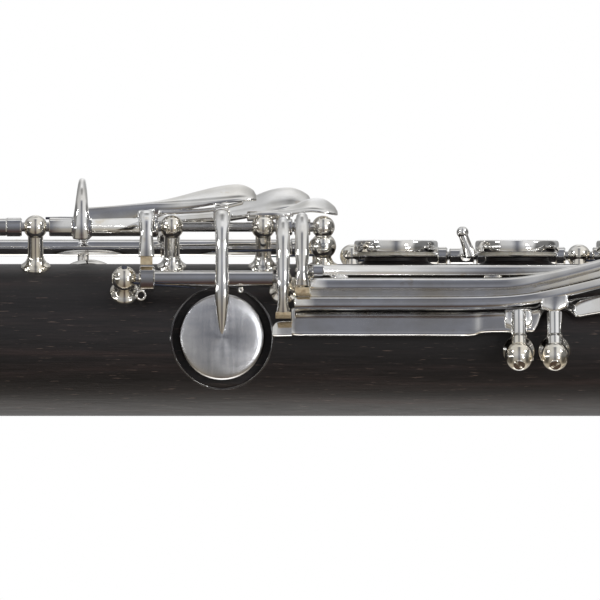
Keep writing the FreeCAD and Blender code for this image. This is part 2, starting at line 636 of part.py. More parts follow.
nodes["low_e_key"] = keyed([spatula_2, e_bridge, e_tab, e_cup, e_arm], ROD_B, 500.4, 691.6)

# Low E-flat key: the long tube below the first post, with its touch near the top.
eb_cup, nodes["low_e_flat_pad"] = open_pair(450.0, -25.0, 11.0, ROD_A, LOW_E_FLAT_TRAVEL)
eb_arm = swung_arm([(8.1, 28.2), (0.0, 26.6), (-9.4, 20.2)], (3.4, 2.6, 2.0), 450.0, 5.0)
eb_touch = lofted([
    (580.0, 30.4, 6.6, 3.0, 4.0, 0), (588.0, 33.0, 4.0, 2.6, 10.0, 0), (600.0, 34.6, 3.0, 2.6, 13.0, 0),
    (608.0, 33.6, 3.0, 2.0, 11.0, 0), (611.0, 32.8, 3.0, 1.0, 6.0, 0),
])
nodes["low_e_flat_key"] = keyed([eb_cup, eb_arm, eb_touch], ROD_A, 436.4, 620.6)

# F-sharp key: spatula 3 with the arm that the lowest left-hand lever lifts.
fs_cup, nodes["f_sharp_pad"] = open_pair(673.0, -55.0, 8.0, ROD_A, SHARP_TRAVEL)
lift_3 = swung_arm([(8.1, 28.2), (13.0, 28.6), (18.6, 25.4), (22.6, 19.0), (23.4, 12.0), (22.4, 6.9)],
                   (3.6, 2.6, 2.6), 685.8, 3.4)
fs_over = swung_arm([(8.1, 28.2), (2.0, 26.6), (-6.0, 24.6), (-12.6, 21.0), (-18.3, 13.2)],
                    (3.8, 2.4, 2.2), 685.3, 2.6)
fs_reach = lofted([(673.0, 13.0, -18.5, 2.0, 4.0, -55), (686.5, 13.0, -18.5, 2.0, 4.0, -55)])
spatula_3 = lofted([
    (677.0, 32.2, 4.6, 1.4, 7.0, 0), (687.0, 32.6, 5.0, 1.6, 8.0, 0), (693.0, 33.9, 5.6, 2.0, 10.0, 0),
    (697.0, 33.4, 5.6, 1.8, 9.0, 0), (699.2, 32.2, 5.6, 1.2, 5.0, 0),
])
fs_neck = swung_arm([(8.1, 28.2), (6.6, 31.0), (5.6, 32.6)], (3.6, 3.2, 3.0), 685.8, 3.6)
nodes["f_sharp_key"] = keyed([lift_3, fs_over, fs_reach, spatula_3, fs_neck, fs_cup], ROD_A, 683.9, 688.1)

# D-sharp key: the second lifted arm and its far cup.
ds_cup, nodes["d_sharp_pad"] = open_pair(702.0, -72.0, 7.5, ROD_A, SHARP_TRAVEL)
lift_2 = swung_arm([(8.1, 28.2), (13.0, 28.6), (18.6, 25.6), (22.2, 20.0), (22.9, 15.0), (22.6, 11.2)],
                   (3.6, 2.6, 2.6), 690.5, 3.4)
ds_over = swung_arm([(8.1, 28.2), (2.0, 26.0), (-6.0, 23.4), (-12.4, 19.6), (-18.2, 13.6), (-21.6, 6.6)],
                    (3.8, 2.4, 2.2), 690.2, 2.6)
ds_reach = lofted([(689.0, 7.0, -21.5, 2.0, 4.0, -72), (702.0, 7.0, -21.5, 2.0, 4.0, -72)])
nodes["d_sharp_key"] = keyed([lift_2, ds_over, ds_reach, ds_cup], ROD_A, 688.6, 692.6)

# ---- left-hand levers ----
LEAN = 62.0
bar_lean = LEAN - 90.0
lever_3 = lofted([
    (682.8, 4.0, 20.8, 5.0, 1.6, bar_lean), (708.0, 4.6, 20.8, 5.6, 1.6, bar_lean),
    (733.0, 4.9, 20.8, 5.6, 1.6, bar_lean), (747.0, 5.4, 20.8, 5.0, 1.6, bar_lean),
    (750.2, 8.4, 18.6, 2.4, 1.5, bar_lean), (756.0, 8.4, 18.6, 2.4, 1.5, bar_lean),
    (762.0, 8.4, 21.0, 4.0, 1.6, bar_lean), (785.0, 12.5, 24.6, 4.0, 1.8, bar_lean),
    (812.0, 16.0, 26.5, 5.0, 2.0, bar_lean), (820.0, 17.5, 27.2, 10.0, 2.2, bar_lean),
    (832.0, 18.5, 27.4, 10.0, 2.0, bar_lean), (838.0, 18.8, 27.0, 5.0, 1.2, bar_lean),
])
saddle_3 = join([seesaw_tube(SEESAW_Z[0], *SEESAW_TUBE, TUBE_R),
                 lofted([(741.4, 5.2, 21.6, 5.8, 2.6, bar_lean), (747.4, 5.2, 21.6, 5.8, 2.6, bar_lean)])])


def seesaw_lever(shapes, z):
    """See-saw lever with the slanting bore for its pivot screw."""
    return join(shapes).cut(seesaw_tube(z, 0.0, 30.0, tube_bore))


nodes["lever_3"] = seesaw_lever([lever_3, saddle_3], SEESAW_Z[0])

lever_2 = lofted([
    (688.8, 9.6, 22.2, 2.4, 1.8, bar_lean), (715.0, 9.6, 22.2, 2.4, 1.8, bar_lean),
    (742.0, 9.7, 22.2, 2.4, 1.8, bar_lean), (752.0, 11.2, 21.6, 2.6, 1.8, bar_lean),
    (765.0, 14.2, 21.8, 2.6, 1.8, bar_lean), (782.0, 18.6, 22.6, 2.8, 1.8, bar_lean),
    (800.0, 22.6, 22.4, 3.4, 2.0, bar_lean - 6), (808.0, 23.8, 22.0, 9.0, 2.2, bar_lean - 12),
    (818.0, 24.6, 21.6, 9.0, 2.0, bar_lean - 12), (823.0, 24.8, 21.0, 4.0, 1.2, bar_lean - 12),
])
saddle_2 = lofted([(750.4, 9.0, 22.0, 5.2, 2.4, bar_lean), (756.2, 9.4, 22.0, 5.2, 2.4, bar_lean)])
tube_2 = seesaw_tube(SEESAW_Z[1], *SEESAW_TUBE, TUBE_R)
nodes["lever_2"] = seesaw_lever([lever_2, saddle_2, tube_2], SEESAW_Z[1])

lever_1 = lofted([
    (692.8, 13.9, 19.4, 3.2, 1.8, -42), (715.0, 13.9, 19.4, 3.2, 1.8, -42),
    (742.0, 13.9, 19.4, 3.2, 1.8, -42), (752.0, 15.6, 19.6, 3.0, 1.8, -42),
    (765.0, 18.8, 18.9, 3.0, 1.8, -42), (778.0, 22.8, 17.6, 3.0, 1.8, -40),
    (786.0, 25.2, 16.6, 8.0, 2.0, -40), (797.0, 27.0, 15.6, 9.0, 2.0, -40),
    (803.0, 27.4, 15.0, 4.0, 1.2, -40),
])
R1_TUBE_R = 1.6
c_cup, nodes["c_sharp_pad"] = cup_pair(778.0, 68.0, 8.0, closed_low)
c_arm = swung_arm([(16.8, 17.1), (19.0, 13.6), (19.6, 8.0)], (2.8, 2.2, 2.0), 778.0, 4.0)
bridge_path = [(16.8, 17.1), (18.2, 15.6), (19.4, 13.9)]
bridges = [swung_arm(bridge_path, (2.6, 2.0, 2.0), z, 5.0) for z in (700.0, 738.0)]
r1_tube = cylinder(693.0, 784.9, R1_TUBE_R, ROD_R1)
c_sharp = join([r1_tube, lever_1, c_arm, c_cup] + bridges)
nodes["lever_1"] = c_sharp.cut(cylinder(692.0, 787.0, R1_ROD_R + RUNNING_CLEARANCE, ROD_R1))

# ---- finger plates ----


def finger_plate(z, tube_z):
    """Covered finger plate: a shallow dish on an arm from the hinge along the right side."""
    low = PLATE_TOP - PLATE_RIM
    profile = [(low, PLATE_R - 0.3), (low + 0.4, PLATE_R), (PLATE_TOP - 0.6, PLATE_R)]
    profile += [(PLATE_TOP, PLATE_R - 0.8), (PLATE_TOP - 0.9, PLATE_R - 2.2), (PLATE_TOP - 1.2, PLATE_R - 5.0)]
    pad_seat = disc(z, 0.0, PLATE_R - 0.7, low - 1, low + 0.9, 0.0)
    dish = revolved(profile, at(z, 0, 0), outward(0.0)).cut(pad_seat)
    arm = swung_arm([ROD_D[::-1], (-13.0, 23.2), (-8.6, 23.4)], (3.4, 2.2, 1.6), z, 7.0)
    return keyed([dish, arm], ROD_D, *tube_z)


def plate_pad(z):
    low = PLATE_TOP - PLATE_RIM
    return disc(z, 0.0, PLATE_R - 0.75, PLATE_PAD_LOW, low + 0.85, 0.3)


right_tubes = ((763.4, 784.1), (734.2, 756.6), (706.4, 727.0))
left_tubes = ((958.6, 981.4), (926.6, 950.4), (895.8, 918.4))
hands = (("right", RIGHT_PLATES_Z, right_tubes), ("left", LEFT_PLATES_Z, left_tubes))
for hand, places, tubes in hands:
    for number, z, tube_z in zip((1, 2, 3), places, tubes):
        plate_name = "%s_plate_%d" % (hand, number)
        nodes[plate_name] = finger_plate(z, tube_z)
        nodes[plate_name + "_pad"] = plate_pad(z)

# Sliver key between the two lower plates of the right hand.
sliver_arm = swung_arm([ROD_D[::-1], (-9.0, 22.4), (0.0, 21.2), (4.0, 21.4)], (3.4, 2.0, 1.6), 731.6, 3.4)
stem = Part.makeCone(1.5, 1.2, 5.4, at(732.4, 21.0, 3.6), Vector(0, -1, -0.3))
tip = Part.makeSphere(1.5, at(730.6, 26.8, 3.6))
nodes["sliver_key"] = keyed([sliver_arm, stem, tip], ROD_D, 727.5, 733.7)

# ---- keys of the upper joint ----
THROAT_CUP_R = 6.4
upper_posts = [post(z, ROD_D) for z in (892.2, 922.5, 954.5, 985.0)]
upper_posts += [post(z, TOP_LINE) for z in (992.0, 1021.0, 1050.0)]


def throat_key(z, tube_z, touch_z):
    """Closed key over the front hole, its hinge on the left and its touch outside the hinge."""
    cup = dished_cup(z, 0.0, THROAT_CUP_R, closed_low + PAD_THICK)
    arm = swung_arm([TOP_LINE[::-1], (12.0, 24.4), (3.0, 21.0)], (3.4, 2.4, 1.8), z, 4.0)
    touch = lofted([(touch_z - 8, 20.4, 21.6, 1.6, 8.0, -28), (touch_z, 20.8, 22.4, 1.8, 11.0, -28),
                    (touch_z + 7, 20.4, 21.6, 1.4, 8.0, -28)])
    return keyed([cup, arm, touch], TOP_LINE, *tube_z)


nodes["a_key"] = throat_key(1008.0, (995.4, 1017.6), 1004.0)
nodes["a_key_pad"] = closed_pad(1008.0, 0.0, THROAT_CUP_R)
nodes["throat_g_sharp_key"] = throat_key(1034.0, (1024.4, 1046.6), 1036.0)
nodes["throat_g_sharp_pad"] = closed_pad(1034.0, 0.0, THROAT_CUP_R)

ROCKER_RHO = 25.0
ROCKER_HALF = 5.0


def turned(shape, angle):
    """Shape made at the front, swung round the body to an angle."""
    shape.rotate(at(0, 0, 0), Vector(0, 0, 1), angle)
    return shape


def rocker_key(angle, cup_z, pivot_z, touch_z, cup_r):
    """See-saw key along the body: the touch at one end, the pad cup at the other."""
    cup = dished_cup(cup_z, 0.0, cup_r, closed_low + PAD_THICK, 2.6)
    rise = 1.0 if cup_z > touch_z else -1.0
    stations = [(cup_z, closed_low + 4.0, 0, 1.6, 3.0, 0), (cup_z - 8 * rise, 22.6, 0, 2.0, 3.6, 0),
                (pivot_z, ROCKER_RHO, 0, 2.4, 4.4, 0), (touch_z + 14 * rise, 25.6, 0, 2.0, 4.0, 0),
                (touch_z + 4 * rise, 25.4, 0, 1.8, 11.0, 0), (touch_z - 8 * rise, 24.6, 0, 1.4, 8.0, 0)]
    bar = lofted(stations if rise < 0 else stations[::-1])
    hub = Part.makeCylinder(TUBE_R, 2 * ROCKER_HALF, at(pivot_z, ROCKER_RHO, -ROCKER_HALF), Vector(1, 0, 0))
    bore = Part.makeCylinder(tube_bore, 40, at(pivot_z, ROCKER_RHO, -20), Vector(1, 0, 0))
    return turned(join([bar, hub, cup]).cut(bore), angle)


def rocker_posts(angle, pivot_z):
    posts = []
    for side in (-1, 1):
        left = side * (ROCKER_HALF + 2.6)
        shaft = Part.makeCylinder(1.9, ROCKER_RHO - 10, at(pivot_z, 10, left), Vector(0, -1, 0))
        ball = Part.makeSphere(2.3, at(pivot_z, ROCKER_RHO, left))
        solid = join([shaft, ball]).cut(cylinder(pivot_z - 9, pivot_z + 9, BODY_R))
        bore = Part.makeCylinder(ROD_R + 0.01, 40, at(pivot_z, ROCKER_RHO, -20), Vector(1, 0, 0))
        posts.append(turned(solid.cut(bore), angle))
    return posts


def rocker_rod(angle, pivot_z):
    half = ROCKER_HALF + 4.6
    rod_solid = Part.makeCylinder(ROD_R, 2 * half, at(pivot_z, ROCKER_RHO, -half), Vector(1, 0, 0))
    return turned(rod_solid, angle)


REGISTER = {"angle": 180.0, "cup_z": 1085.0, "pivot_z": 1056.0, "touch_z": 1016.0, "cup_r": 5.4}
TRILL = {"angle": -85.0, "cup_z": 872.0, "pivot_z": 851.0, "touch_z": 822.0, "cup_r": 6.4}
upper_rods = [rod(890.5, 986.8, ROD_D), rod(990.2, 1051.8, TOP_LINE)]
for name, size in (("register", REGISTER), ("trill", TRILL)):
    nodes[name + "_key"] = rocker_key(**size)
    nodes[name + "_pad"] = closed_pad(size["cup_z"], size["angle"], size["cup_r"])
    upper_posts += rocker_posts(size["angle"], size["pivot_z"])
    upper_rods.append(rocker_rod(size["angle"], size["pivot_z"]))
nodes["upper_joint_posts"] = group(upper_posts)
nodes["upper_joint_rods"] = group(upper_rods)

for name, shape in nodes.items():
    shape.exportStep("parts/%s.step" % name)
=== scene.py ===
import json
import math
import bpy
from mathutils import Matrix, Vector


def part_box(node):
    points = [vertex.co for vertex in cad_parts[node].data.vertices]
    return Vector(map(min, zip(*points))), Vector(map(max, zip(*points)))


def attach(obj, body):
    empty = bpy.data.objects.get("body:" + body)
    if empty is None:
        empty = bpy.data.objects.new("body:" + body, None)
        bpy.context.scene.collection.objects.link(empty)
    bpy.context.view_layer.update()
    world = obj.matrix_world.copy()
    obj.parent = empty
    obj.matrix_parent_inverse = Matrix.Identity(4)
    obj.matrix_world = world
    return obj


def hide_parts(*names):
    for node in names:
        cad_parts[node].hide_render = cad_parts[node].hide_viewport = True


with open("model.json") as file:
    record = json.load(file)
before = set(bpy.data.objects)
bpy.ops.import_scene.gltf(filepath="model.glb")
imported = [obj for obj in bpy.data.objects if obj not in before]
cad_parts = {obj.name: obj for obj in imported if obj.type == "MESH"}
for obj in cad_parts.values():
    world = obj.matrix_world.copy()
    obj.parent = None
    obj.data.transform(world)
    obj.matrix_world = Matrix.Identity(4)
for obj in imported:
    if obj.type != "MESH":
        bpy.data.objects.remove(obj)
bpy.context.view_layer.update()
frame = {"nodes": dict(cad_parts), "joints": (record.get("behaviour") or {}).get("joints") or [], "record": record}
nodes = frame["nodes"]

# ---- places, in millimetres, worked out from the frame ----
MM = 0.001
BODY_R = 19.0
ALONG = Vector((0, 0, 1))
# How far the body's axis is in front of the frame's origin: the middle of its rings.
ring_low, ring_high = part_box("joint_rings")
AXIS_FRONT = -(ring_low.y + ring_high.y) / 2 / MM
joint_of = {joint["name"]: joint for joint in frame["joints"]}


def hinge_line(name):
    """(front, left) place of a hinge that runs along the body, from the body's axis."""
    x, y, z = joint_of[name]["pos_m"]
    return (-y / MM - AXIS_FRONT, x / MM)


def opening_turn(name):
    """High end of a key's travel, in degrees."""
    return joint_of[name]["range_deg"][1]


ROD_A = hinge_line("low_f_press")
ROD_B = hinge_line("low_e_press")
ROD_C = hinge_line("side_cup_open")
ROD_D = hinge_line("right_plate_3_press")
ROD_R1 = hinge_line("lever_1_press")
TOP_LINE = hinge_line("a_open")


def at(z, front, left):
    """Point at height z, so far in front of the body's axis and so far to its left."""
    return Vector((left, -front - AXIS_FRONT, z))


def outward(angle):
    """Unit vector from the axis outwards: 0 degrees is the front, 90 the player's left."""
    return Vector((math.sin(math.radians(angle)), -math.cos(math.radians(angle)), 0.0))


def polar(z, angle, reach):
    return at(z, 0.0, 0.0) + outward(angle) * reach


def angle_of(line):
    return math.degrees(math.atan2(line[1], line[0]))


def reach_of(line):
    return math.hypot(line[0], line[1])


# ---- mesh tools ----
# Edges sharper than these angles, in degrees, aren't smoothed.
SHARP_EDGE = 35.0
CAD_SHARP_EDGE = 32.0


class Shape:
    """Vertices in millimetres and faces, gathered into one mesh."""

    def __init__(self):
        self.points = []
        self.faces = []

    def add(self, points, faces):
        start = len(self.points)
        self.points.extend(points)
        self.faces.extend([tuple(i + start for i in face) for face in faces])

    def rings(self, rings):
        """Skin over rings that all have the same number of points, closed at both ends."""
        count = len(rings[0])
        points = [point for ring in rings for point in ring]
        faces = []
        for i in range(len(rings) - 1):
            for j in range(count):
                k = (j + 1) % count
                faces.append((i * count + j, i * count + k, (i + 1) * count + k, (i + 1) * count + j))
        faces.append(tuple(reversed(range(count))))
        faces.append(tuple((len(rings) - 1) * count + j for j in range(count)))
        self.add(points, faces)

    def hoop(self, points, count):
        """Skin over rings of count points each, where the last ring joins the first."""
        total = len(points) // count
        faces = []
        for i in range(total):
            for j in range(count):
                k, n = (j + 1) % count, (i + 1) % total
                faces.append((i * count + j, i * count + k, n * count + k, n * count + j))
        self.add(points, faces)

    def piece(self, name, body, slot, material, replaced=()):
        """Mesh object riding on a body."""
        mesh = bpy.data.meshes.new(name)
        mesh.from_pydata([point * MM for point in self.points], [], self.faces)
        mesh.validate()
        mesh.materials.append(material)
        made = bpy.data.objects.new(name, mesh)
        bpy.context.scene.collection.objects.link(made)
        bpy.context.view_layer.objects.active = made
        made.select_set(True)
        bpy.ops.object.mode_set(mode="EDIT")
        bpy.ops.mesh.select_all(action="SELECT")
        bpy.ops.mesh.normals_make_consistent(inside=False)
        bpy.ops.object.mode_set(mode="OBJECT")
        made.select_set(False)
        mesh.shade_smooth()
        mesh.set_sharp_from_angle(angle=math.radians(SHARP_EDGE))
        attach(made, body)
        if replaced:
            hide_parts(*replaced)
        return made


def frame_about(axis):
    """Two unit vectors square to an axis."""
    axis = axis.normalized()
    helper = ALONG if abs(axis.z) < 0.9 else Vector((1, 0, 0))
    side = axis.cross(helper).normalized()
    return side, axis.cross(side).normalized()


def rounded(profile, radius, steps=3):
    """A (distance, radius) outline with its inner corners rounded off."""
    smooth = [profile[0]]
    for before, corner, after in zip(profile, profile[1:], profile[2:]):
        corner_v, before_v, after_v = Vector(corner), Vector(before), Vector(after)
        to_before, to_after = before_v - corner_v, after_v - corner_v
        reach = min(radius, to_before.length * 0.45, to_after.length * 0.45)
        start = corner_v + to_before.normalized() * reach
        end = corner_v + to_after.normalized() * reach
        for i in range(steps + 1):
            t = i / steps
            point = start * (1 - t) ** 2 + corner_v * 2 * t * (1 - t) + end * t * t
            smooth.append((point.x, point.y))
    smooth.append(profile[-1])
    return smooth


# Stands for radius 0, so that the points at a closed end stay apart.
LEAST_R = 0.004


def lathe(shape, profile, base, axis, segments):
    """Turned solid: the profile is (distance along the axis, radius) pairs; radius 0 closes an end."""
    side, other = frame_about(axis)
    rings = []
    for along, radius in profile:
        centre = base + axis.normalized() * along
        turns = [2 * math.pi * i / segments for i in range(segments)]
        radius = max(radius, LEAST_R)
        rings.append([centre + (side * math.cos(t) + other * math.sin(t)) * radius for t in turns])
    shape.rings(rings)


def turned_ring(shape, profile, base, axis, segments, corner):
    """Turned ring with rounded corners: the profile is a closed outline of (distance, radius) pairs."""
    profile = rounded(list(profile) + list(profile[:2]), corner)[1:-1]
    side, other = frame_about(axis)
    points = []
    for i in range(segments):
        turn = 2 * math.pi * i / segments
        out = side * math.cos(turn) + other * math.sin(turn)
        points.extend([base + axis.normalized() * along + out * radius for along, radius in profile])
    shape.hoop(points, len(profile))


def ball(shape, centre, radius, axis=ALONG):
    steps = 20
    turns = [math.pi * i / steps for i in range(steps + 1)]
    profile = [(-radius * math.cos(turn), radius * math.sin(turn)) for turn in turns]
    lathe(shape, profile, centre, axis, 2 * steps)


def catmull(values, share):
    """Smooth curve through four values, at a share of the way from the second to the third."""
    before, start, end, after = values
    t2, t3 = share * share, share ** 3
    return 0.5 * (2 * start + (end - before) * share + (2 * before - 5 * start + 4 * end - after) * t2
                  + (3 * start - before - 3 * end + after) * t3)


def smooth_rows(rows, steps):
    """Rows of numbers with smooth rows put in between."""
    ends = [[2 * a - b for a, b in zip(rows[0], rows[1])]] + [list(row) for row in rows]
    ends.append([2 * a - b for a, b in zip(rows[-1], rows[-2])])
    smooth = []
    for i in range(1, len(ends) - 2):
        for step in range(steps):
            near = ends[i - 1:i + 3]
            smooth.append([catmull(column, step / steps) for column in zip(*near)])
    smooth.append(list(rows[-1]))
    return smooth


RING_POINTS = 28


def squircle(centre, side, up, width, height, power):
    """Rounded-rectangle ring: power 2 is an ellipse, and a larger one is squarer."""
    ring = []
    for i in range(RING_POINTS):
        turn = 2 * math.pi * i / RING_POINTS
        c, s = math.cos(turn), math.sin(turn)
        a = math.copysign(abs(c) ** (2 / power), c) * width / 2
        b = math.copysign(abs(s) ** (2 / power), s) * height / 2
        ring.append(centre + side * a + up * b)
    return ring


def capped(rings, tip):
    """Rings with rounded ends: each end is drawn in by a few shrinking rings."""
    steps = 4
    out = []
    for end, towards in ((rings[0], rings[1]), (rings[-1], rings[-2])):
        centre = sum(end, Vector()) / len(end)
        inward = (sum(towards, Vector()) / len(towards) - centre).normalized()
        cap = []
        for i in range(steps):
            turn = math.pi / 2 * i / steps
            scale = 0.12 + 0.88 * math.sin(turn) if i else 0.35
            back = inward * tip * math.cos(turn)
            cap.append([centre + (point - centre) * scale - back for point in end])
        out.append(cap)
    return out[0] + rings + out[1][::-1]


def bar(shape, stations, power, steps, tip=0.4):
    """Bar along the body. A station is (z, front, left, height, width, lean in degrees)."""
    rings = []
    for z, front, left, height, width, lean in smooth_rows(stations, steps):
        turn = math.radians(lean)
        up = Vector((math.sin(turn), -math.cos(turn), 0))
        side = Vector((math.cos(turn), math.sin(turn), 0))
        rings.append(squircle(at(z, front, left), side, up, width, height, power))
    shape.rings(capped(rings, tip))


def arm(shape, stations, z, power=2.6, steps=6, tip=0.4, drift=0.0):
    """Arm across the body at height z, with its last station higher by drift.

    A station is (left, front, thickness, width along the body).
    """
    level = [(*station, 0.0) for station in stations[:-1]] + [(*stations[-1], drift)]
    rows = smooth_rows(level, steps)
    rings = []
    for i, (left, front, thick, width, rise) in enumerate(rows):
        before, after = rows[max(i - 1, 0)], rows[min(i + 1, len(rows) - 1)]
        along = Vector((after[0] - before[0], -(after[1] - before[1]), 0)).normalized()
        up = Vector((-along.y, along.x, 0))
        rings.append(squircle(at(z + rise, front, left), ALONG, up, width, thick, power))
    shape.rings(capped(rings, tip))


def turned_tube(shape, z0, z1, line, radius=2.0, collars=()):
    """Hinge tube along the body with broken end edges; collars are (from, to, radius)."""
    profile = [(z0, 0.9), (z0, radius - 0.25), (z0 + 0.25, radius)]
    for low, high, wide in collars:
        profile += [(low, radius), (low + 0.1, wide - 0.3), (low + 0.4, wide), (high - 0.4, wide)]
        profile += [(high - 0.1, wide - 0.3), (high, radius)]
    profile += [(z1 - 0.25, radius), (z1, radius - 0.25), (z1, 0.9)]
    lathe(shape, profile, at(0, *line), ALONG, 40)


# ---- materials ----


def new_material(name):
    made = bpy.data.materials.new(name)
    made.use_nodes = True
    shader = made.node_tree.nodes["Principled BSDF"]
    return made, made.node_tree, shader


def add_node(tree, kind, settings=(), links=()):
    """Node with its settings made and its inputs linked or set."""
    node = tree.nodes.new(kind)
    for key, value in dict(settings).items():
        setattr(node, key, value)
    for key, value in dict(links).items():
        if isinstance(value, bpy.types.NodeSocket):
            tree.links.new(value, node.inputs[key])
        else:
            node.inputs[key].default_value = value
    return node


def stretched(tree, scale):
    """Object coordinates, scaled differently along each axis."""
    place = add_node(tree, "ShaderNodeTexCoord")
    made = add_node(tree, "ShaderNodeMapping", links={"Vector": place.outputs["Object"], "Scale": scale})
    return made.outputs[0]


def noise(tree, vector, scale, detail=4.0, roughness=0.55, distortion=0.0):
    made = add_node(tree, "ShaderNodeTexNoise", links={
        "Vector": vector, "Scale": scale, "Detail": detail, "Roughness": roughness, "Distortion": distortion})
    return made.outputs["Fac"]


def ramp(tree, value, stops):
    """Colour ramp: stops are (position, colour)."""
    made = add_node(tree, "ShaderNodeValToRGB", links={"Fac": value})
    elements = made.color_ramp.elements
    while len(elements) < len(stops):
        elements.new(0.5)
    for element, (position, colour) in zip(elements, stops):
        element.position = position
        element.color = (*colour, 1.0)
    return made.outputs["Color"]


def grey(value):
    return (value, value, value)


def ranged(tree, value, low, high, out_low, out_high):
    """The value carried from one range to another."""
    made = add_node(tree, "ShaderNodeMapRange", links={
        "Value": value, "From Min": low, "From Max": high, "To Min": out_low, "To Max": out_high})
    return made.outputs[0]


def bump(tree, shader, height, strength, distance):
    made = add_node(tree, "ShaderNodeBump", links={
        "Height": height, "Strength": strength, "Distance": distance})
    tree.links.new(made.outputs["Normal"], shader.inputs["Normal"])


def mixed(tree, share, first, second, mode="MIX"):
    """Blend of two colours, each a socket or a constant."""
    made = add_node(tree, "ShaderNodeMix", {"data_type": "RGBA", "blend_type": mode})
    # The node keeps its factor at 0, and its colours after its numbers and its vectors.
    for socket, value in ((made.inputs[0], share), (made.inputs[6], first), (made.inputs[7], second)):
        if isinstance(value, bpy.types.NodeSocket):
            tree.links.new(value, socket)
        else:
            socket.default_value = value if isinstance(value, float) else (*value, 1.0)
    return made.outputs[2]


def silver(name, dull, bright, rough):
    """Silver plate: a bright mirror with hairline wear, faint clouding and a little warm tarnish."""
    made, tree, shader = new_material(name)
    clouds = noise(tree, stretched(tree, (60, 60, 60)), 1.6, 5.0)
    hair = noise(tree, stretched(tree, (400, 400, 90)), 3.0, 6.0, 0.7)
    tint = ramp(tree, clouds, [(0.34, dull), (0.62, bright)])
    spots = ramp(tree, noise(tree, stretched(tree, (260, 260, 260)), 1.0, 3.0), [
        (0.62, grey(0.0)), (0.75, grey(0.5))])
    colour = mixed(tree, spots, tint, (0.72, 0.62, 0.48))
    tree.links.new(colour, shader.inputs["Base Color"])
    tree.links.new(ranged(tree, hair, 0.35, 0.75, *rough), shader.inputs["Roughness"])
    shader.inputs["Metallic"].default_value = 1.0
    bump(tree, shader, hair, 0.05, 0.0002)
    return made


def turned_silver():
    """Face of the pad cup: turned on a lathe, so its hairlines run in circles."""
    made, tree, shader = new_material("turned_silver")
    place = add_node(tree, "ShaderNodeTexCoord").outputs["Generated"]
    centred = add_node(tree, "ShaderNodeVectorMath", {"operation": "SUBTRACT"},
                       {0: place, 1: (0.5, 0.5, 0.5)})
    flat = add_node(tree, "ShaderNodeVectorMath", {"operation": "MULTIPLY"},
                    {0: centred.outputs[0], 1: (0, 1, 1)})
    reach = add_node(tree, "ShaderNodeVectorMath", {"operation": "LENGTH"}, {0: flat.outputs[0]})
    rings = add_node(tree, "ShaderNodeTexNoise", {"noise_dimensions": "1D"},
                     {"W": reach.outputs["Value"], "Scale": 160.0, "Detail": 4.0})
    clouds = noise(tree, stretched(tree, (90, 160, 60)), 1.4, 5.0)
    streaks = noise(tree, stretched(tree, (90, 60, 700)), 1.2, 6.0, 0.65)
    tint = ramp(tree, clouds, [(0.3, (0.56, 0.57, 0.61)), (0.55, (0.72, 0.72, 0.74)), (0.8, grey(0.86))])
    shade = ramp(tree, streaks, [(0.3, grey(0.86)), (0.7, grey(1.0))])
    tree.links.new(mixed(tree, 1.0, tint, shade, "MULTIPLY"), shader.inputs["Base Color"])
    tree.links.new(ranged(tree, streaks, 0.3, 0.7, 0.18, 0.28), shader.inputs["Roughness"])
    shader.inputs["Metallic"].default_value = 1.0
    shader.inputs["Anisotropic"].default_value = 0.9
    tangent = add_node(tree, "ShaderNodeTangent", {"direction_type": "RADIAL", "axis": "X"})
    tree.links.new(tangent.outputs[0], shader.inputs["Tangent"])
    bump(tree, shader, rings.outputs["Fac"], 0.08, 0.0002)
    return made


def grenadilla():
    """Oiled African blackwood: near black, with fine lengthwise grain, brown streaks and pale flecks."""
    made, tree, shader = new_material("grenadilla")
    grain = noise(tree, stretched(tree, (2600, 2600, 130)), 1.0, 6.0, 0.65)
    figure = noise(tree, stretched(tree, (260, 260, 12)), 1.0, 5.0, 0.55, 0.5)
    dashes = noise(tree, stretched(tree, (3000, 3000, 230)), 1.0, 2.0, 0.5)
    base = ramp(tree, figure, [
        (0.28, (0.006, 0.0048, 0.0056)), (0.46, (0.011, 0.0085, 0.0098)), (0.58, (0.020, 0.014, 0.0148)),
        (0.72, (0.040, 0.024, 0.023))])
    fibres = ramp(tree, grain, [(0.34, grey(0.55)), (0.62, grey(1.25))])
    wood = mixed(tree, 1.0, base, fibres, "MULTIPLY")
    flecks = ramp(tree, dashes, [(0.66, grey(0.0)), (0.74, grey(0.8))])
    tree.links.new(mixed(tree, flecks, wood, (0.15, 0.105, 0.09)), shader.inputs["Base Color"])
    tree.links.new(ranged(tree, grain, 0.3, 0.7, 0.40, 0.56), shader.inputs["Roughness"])
    shader.inputs["Specular IOR Level"].default_value = 0.5
    bump(tree, shader, grain, 0.28, 0.00012)
    return made


def polished_edge():
    """The same wood where a chamfer has been burnished to a shine."""
    made, tree, shader = new_material("polished_edge")
    grain = noise(tree, stretched(tree, (2600, 2600, 130)), 1.0, 4.0)
    tree.links.new(ramp(tree, grain, [(0.3, (0.012, 0.010, 0.011)), (0.7, (0.03, 0.022, 0.022))]),
                   shader.inputs["Base Color"])
    tree.links.new(ranged(tree, grain, 0.3, 0.7, 0.10, 0.2), shader.inputs["Roughness"])
    shader.inputs["Coat Weight"].default_value = 1.0
    shader.inputs["Coat IOR"].default_value = 2.0
    shader.inputs["Coat Roughness"].default_value = 0.12
    return made


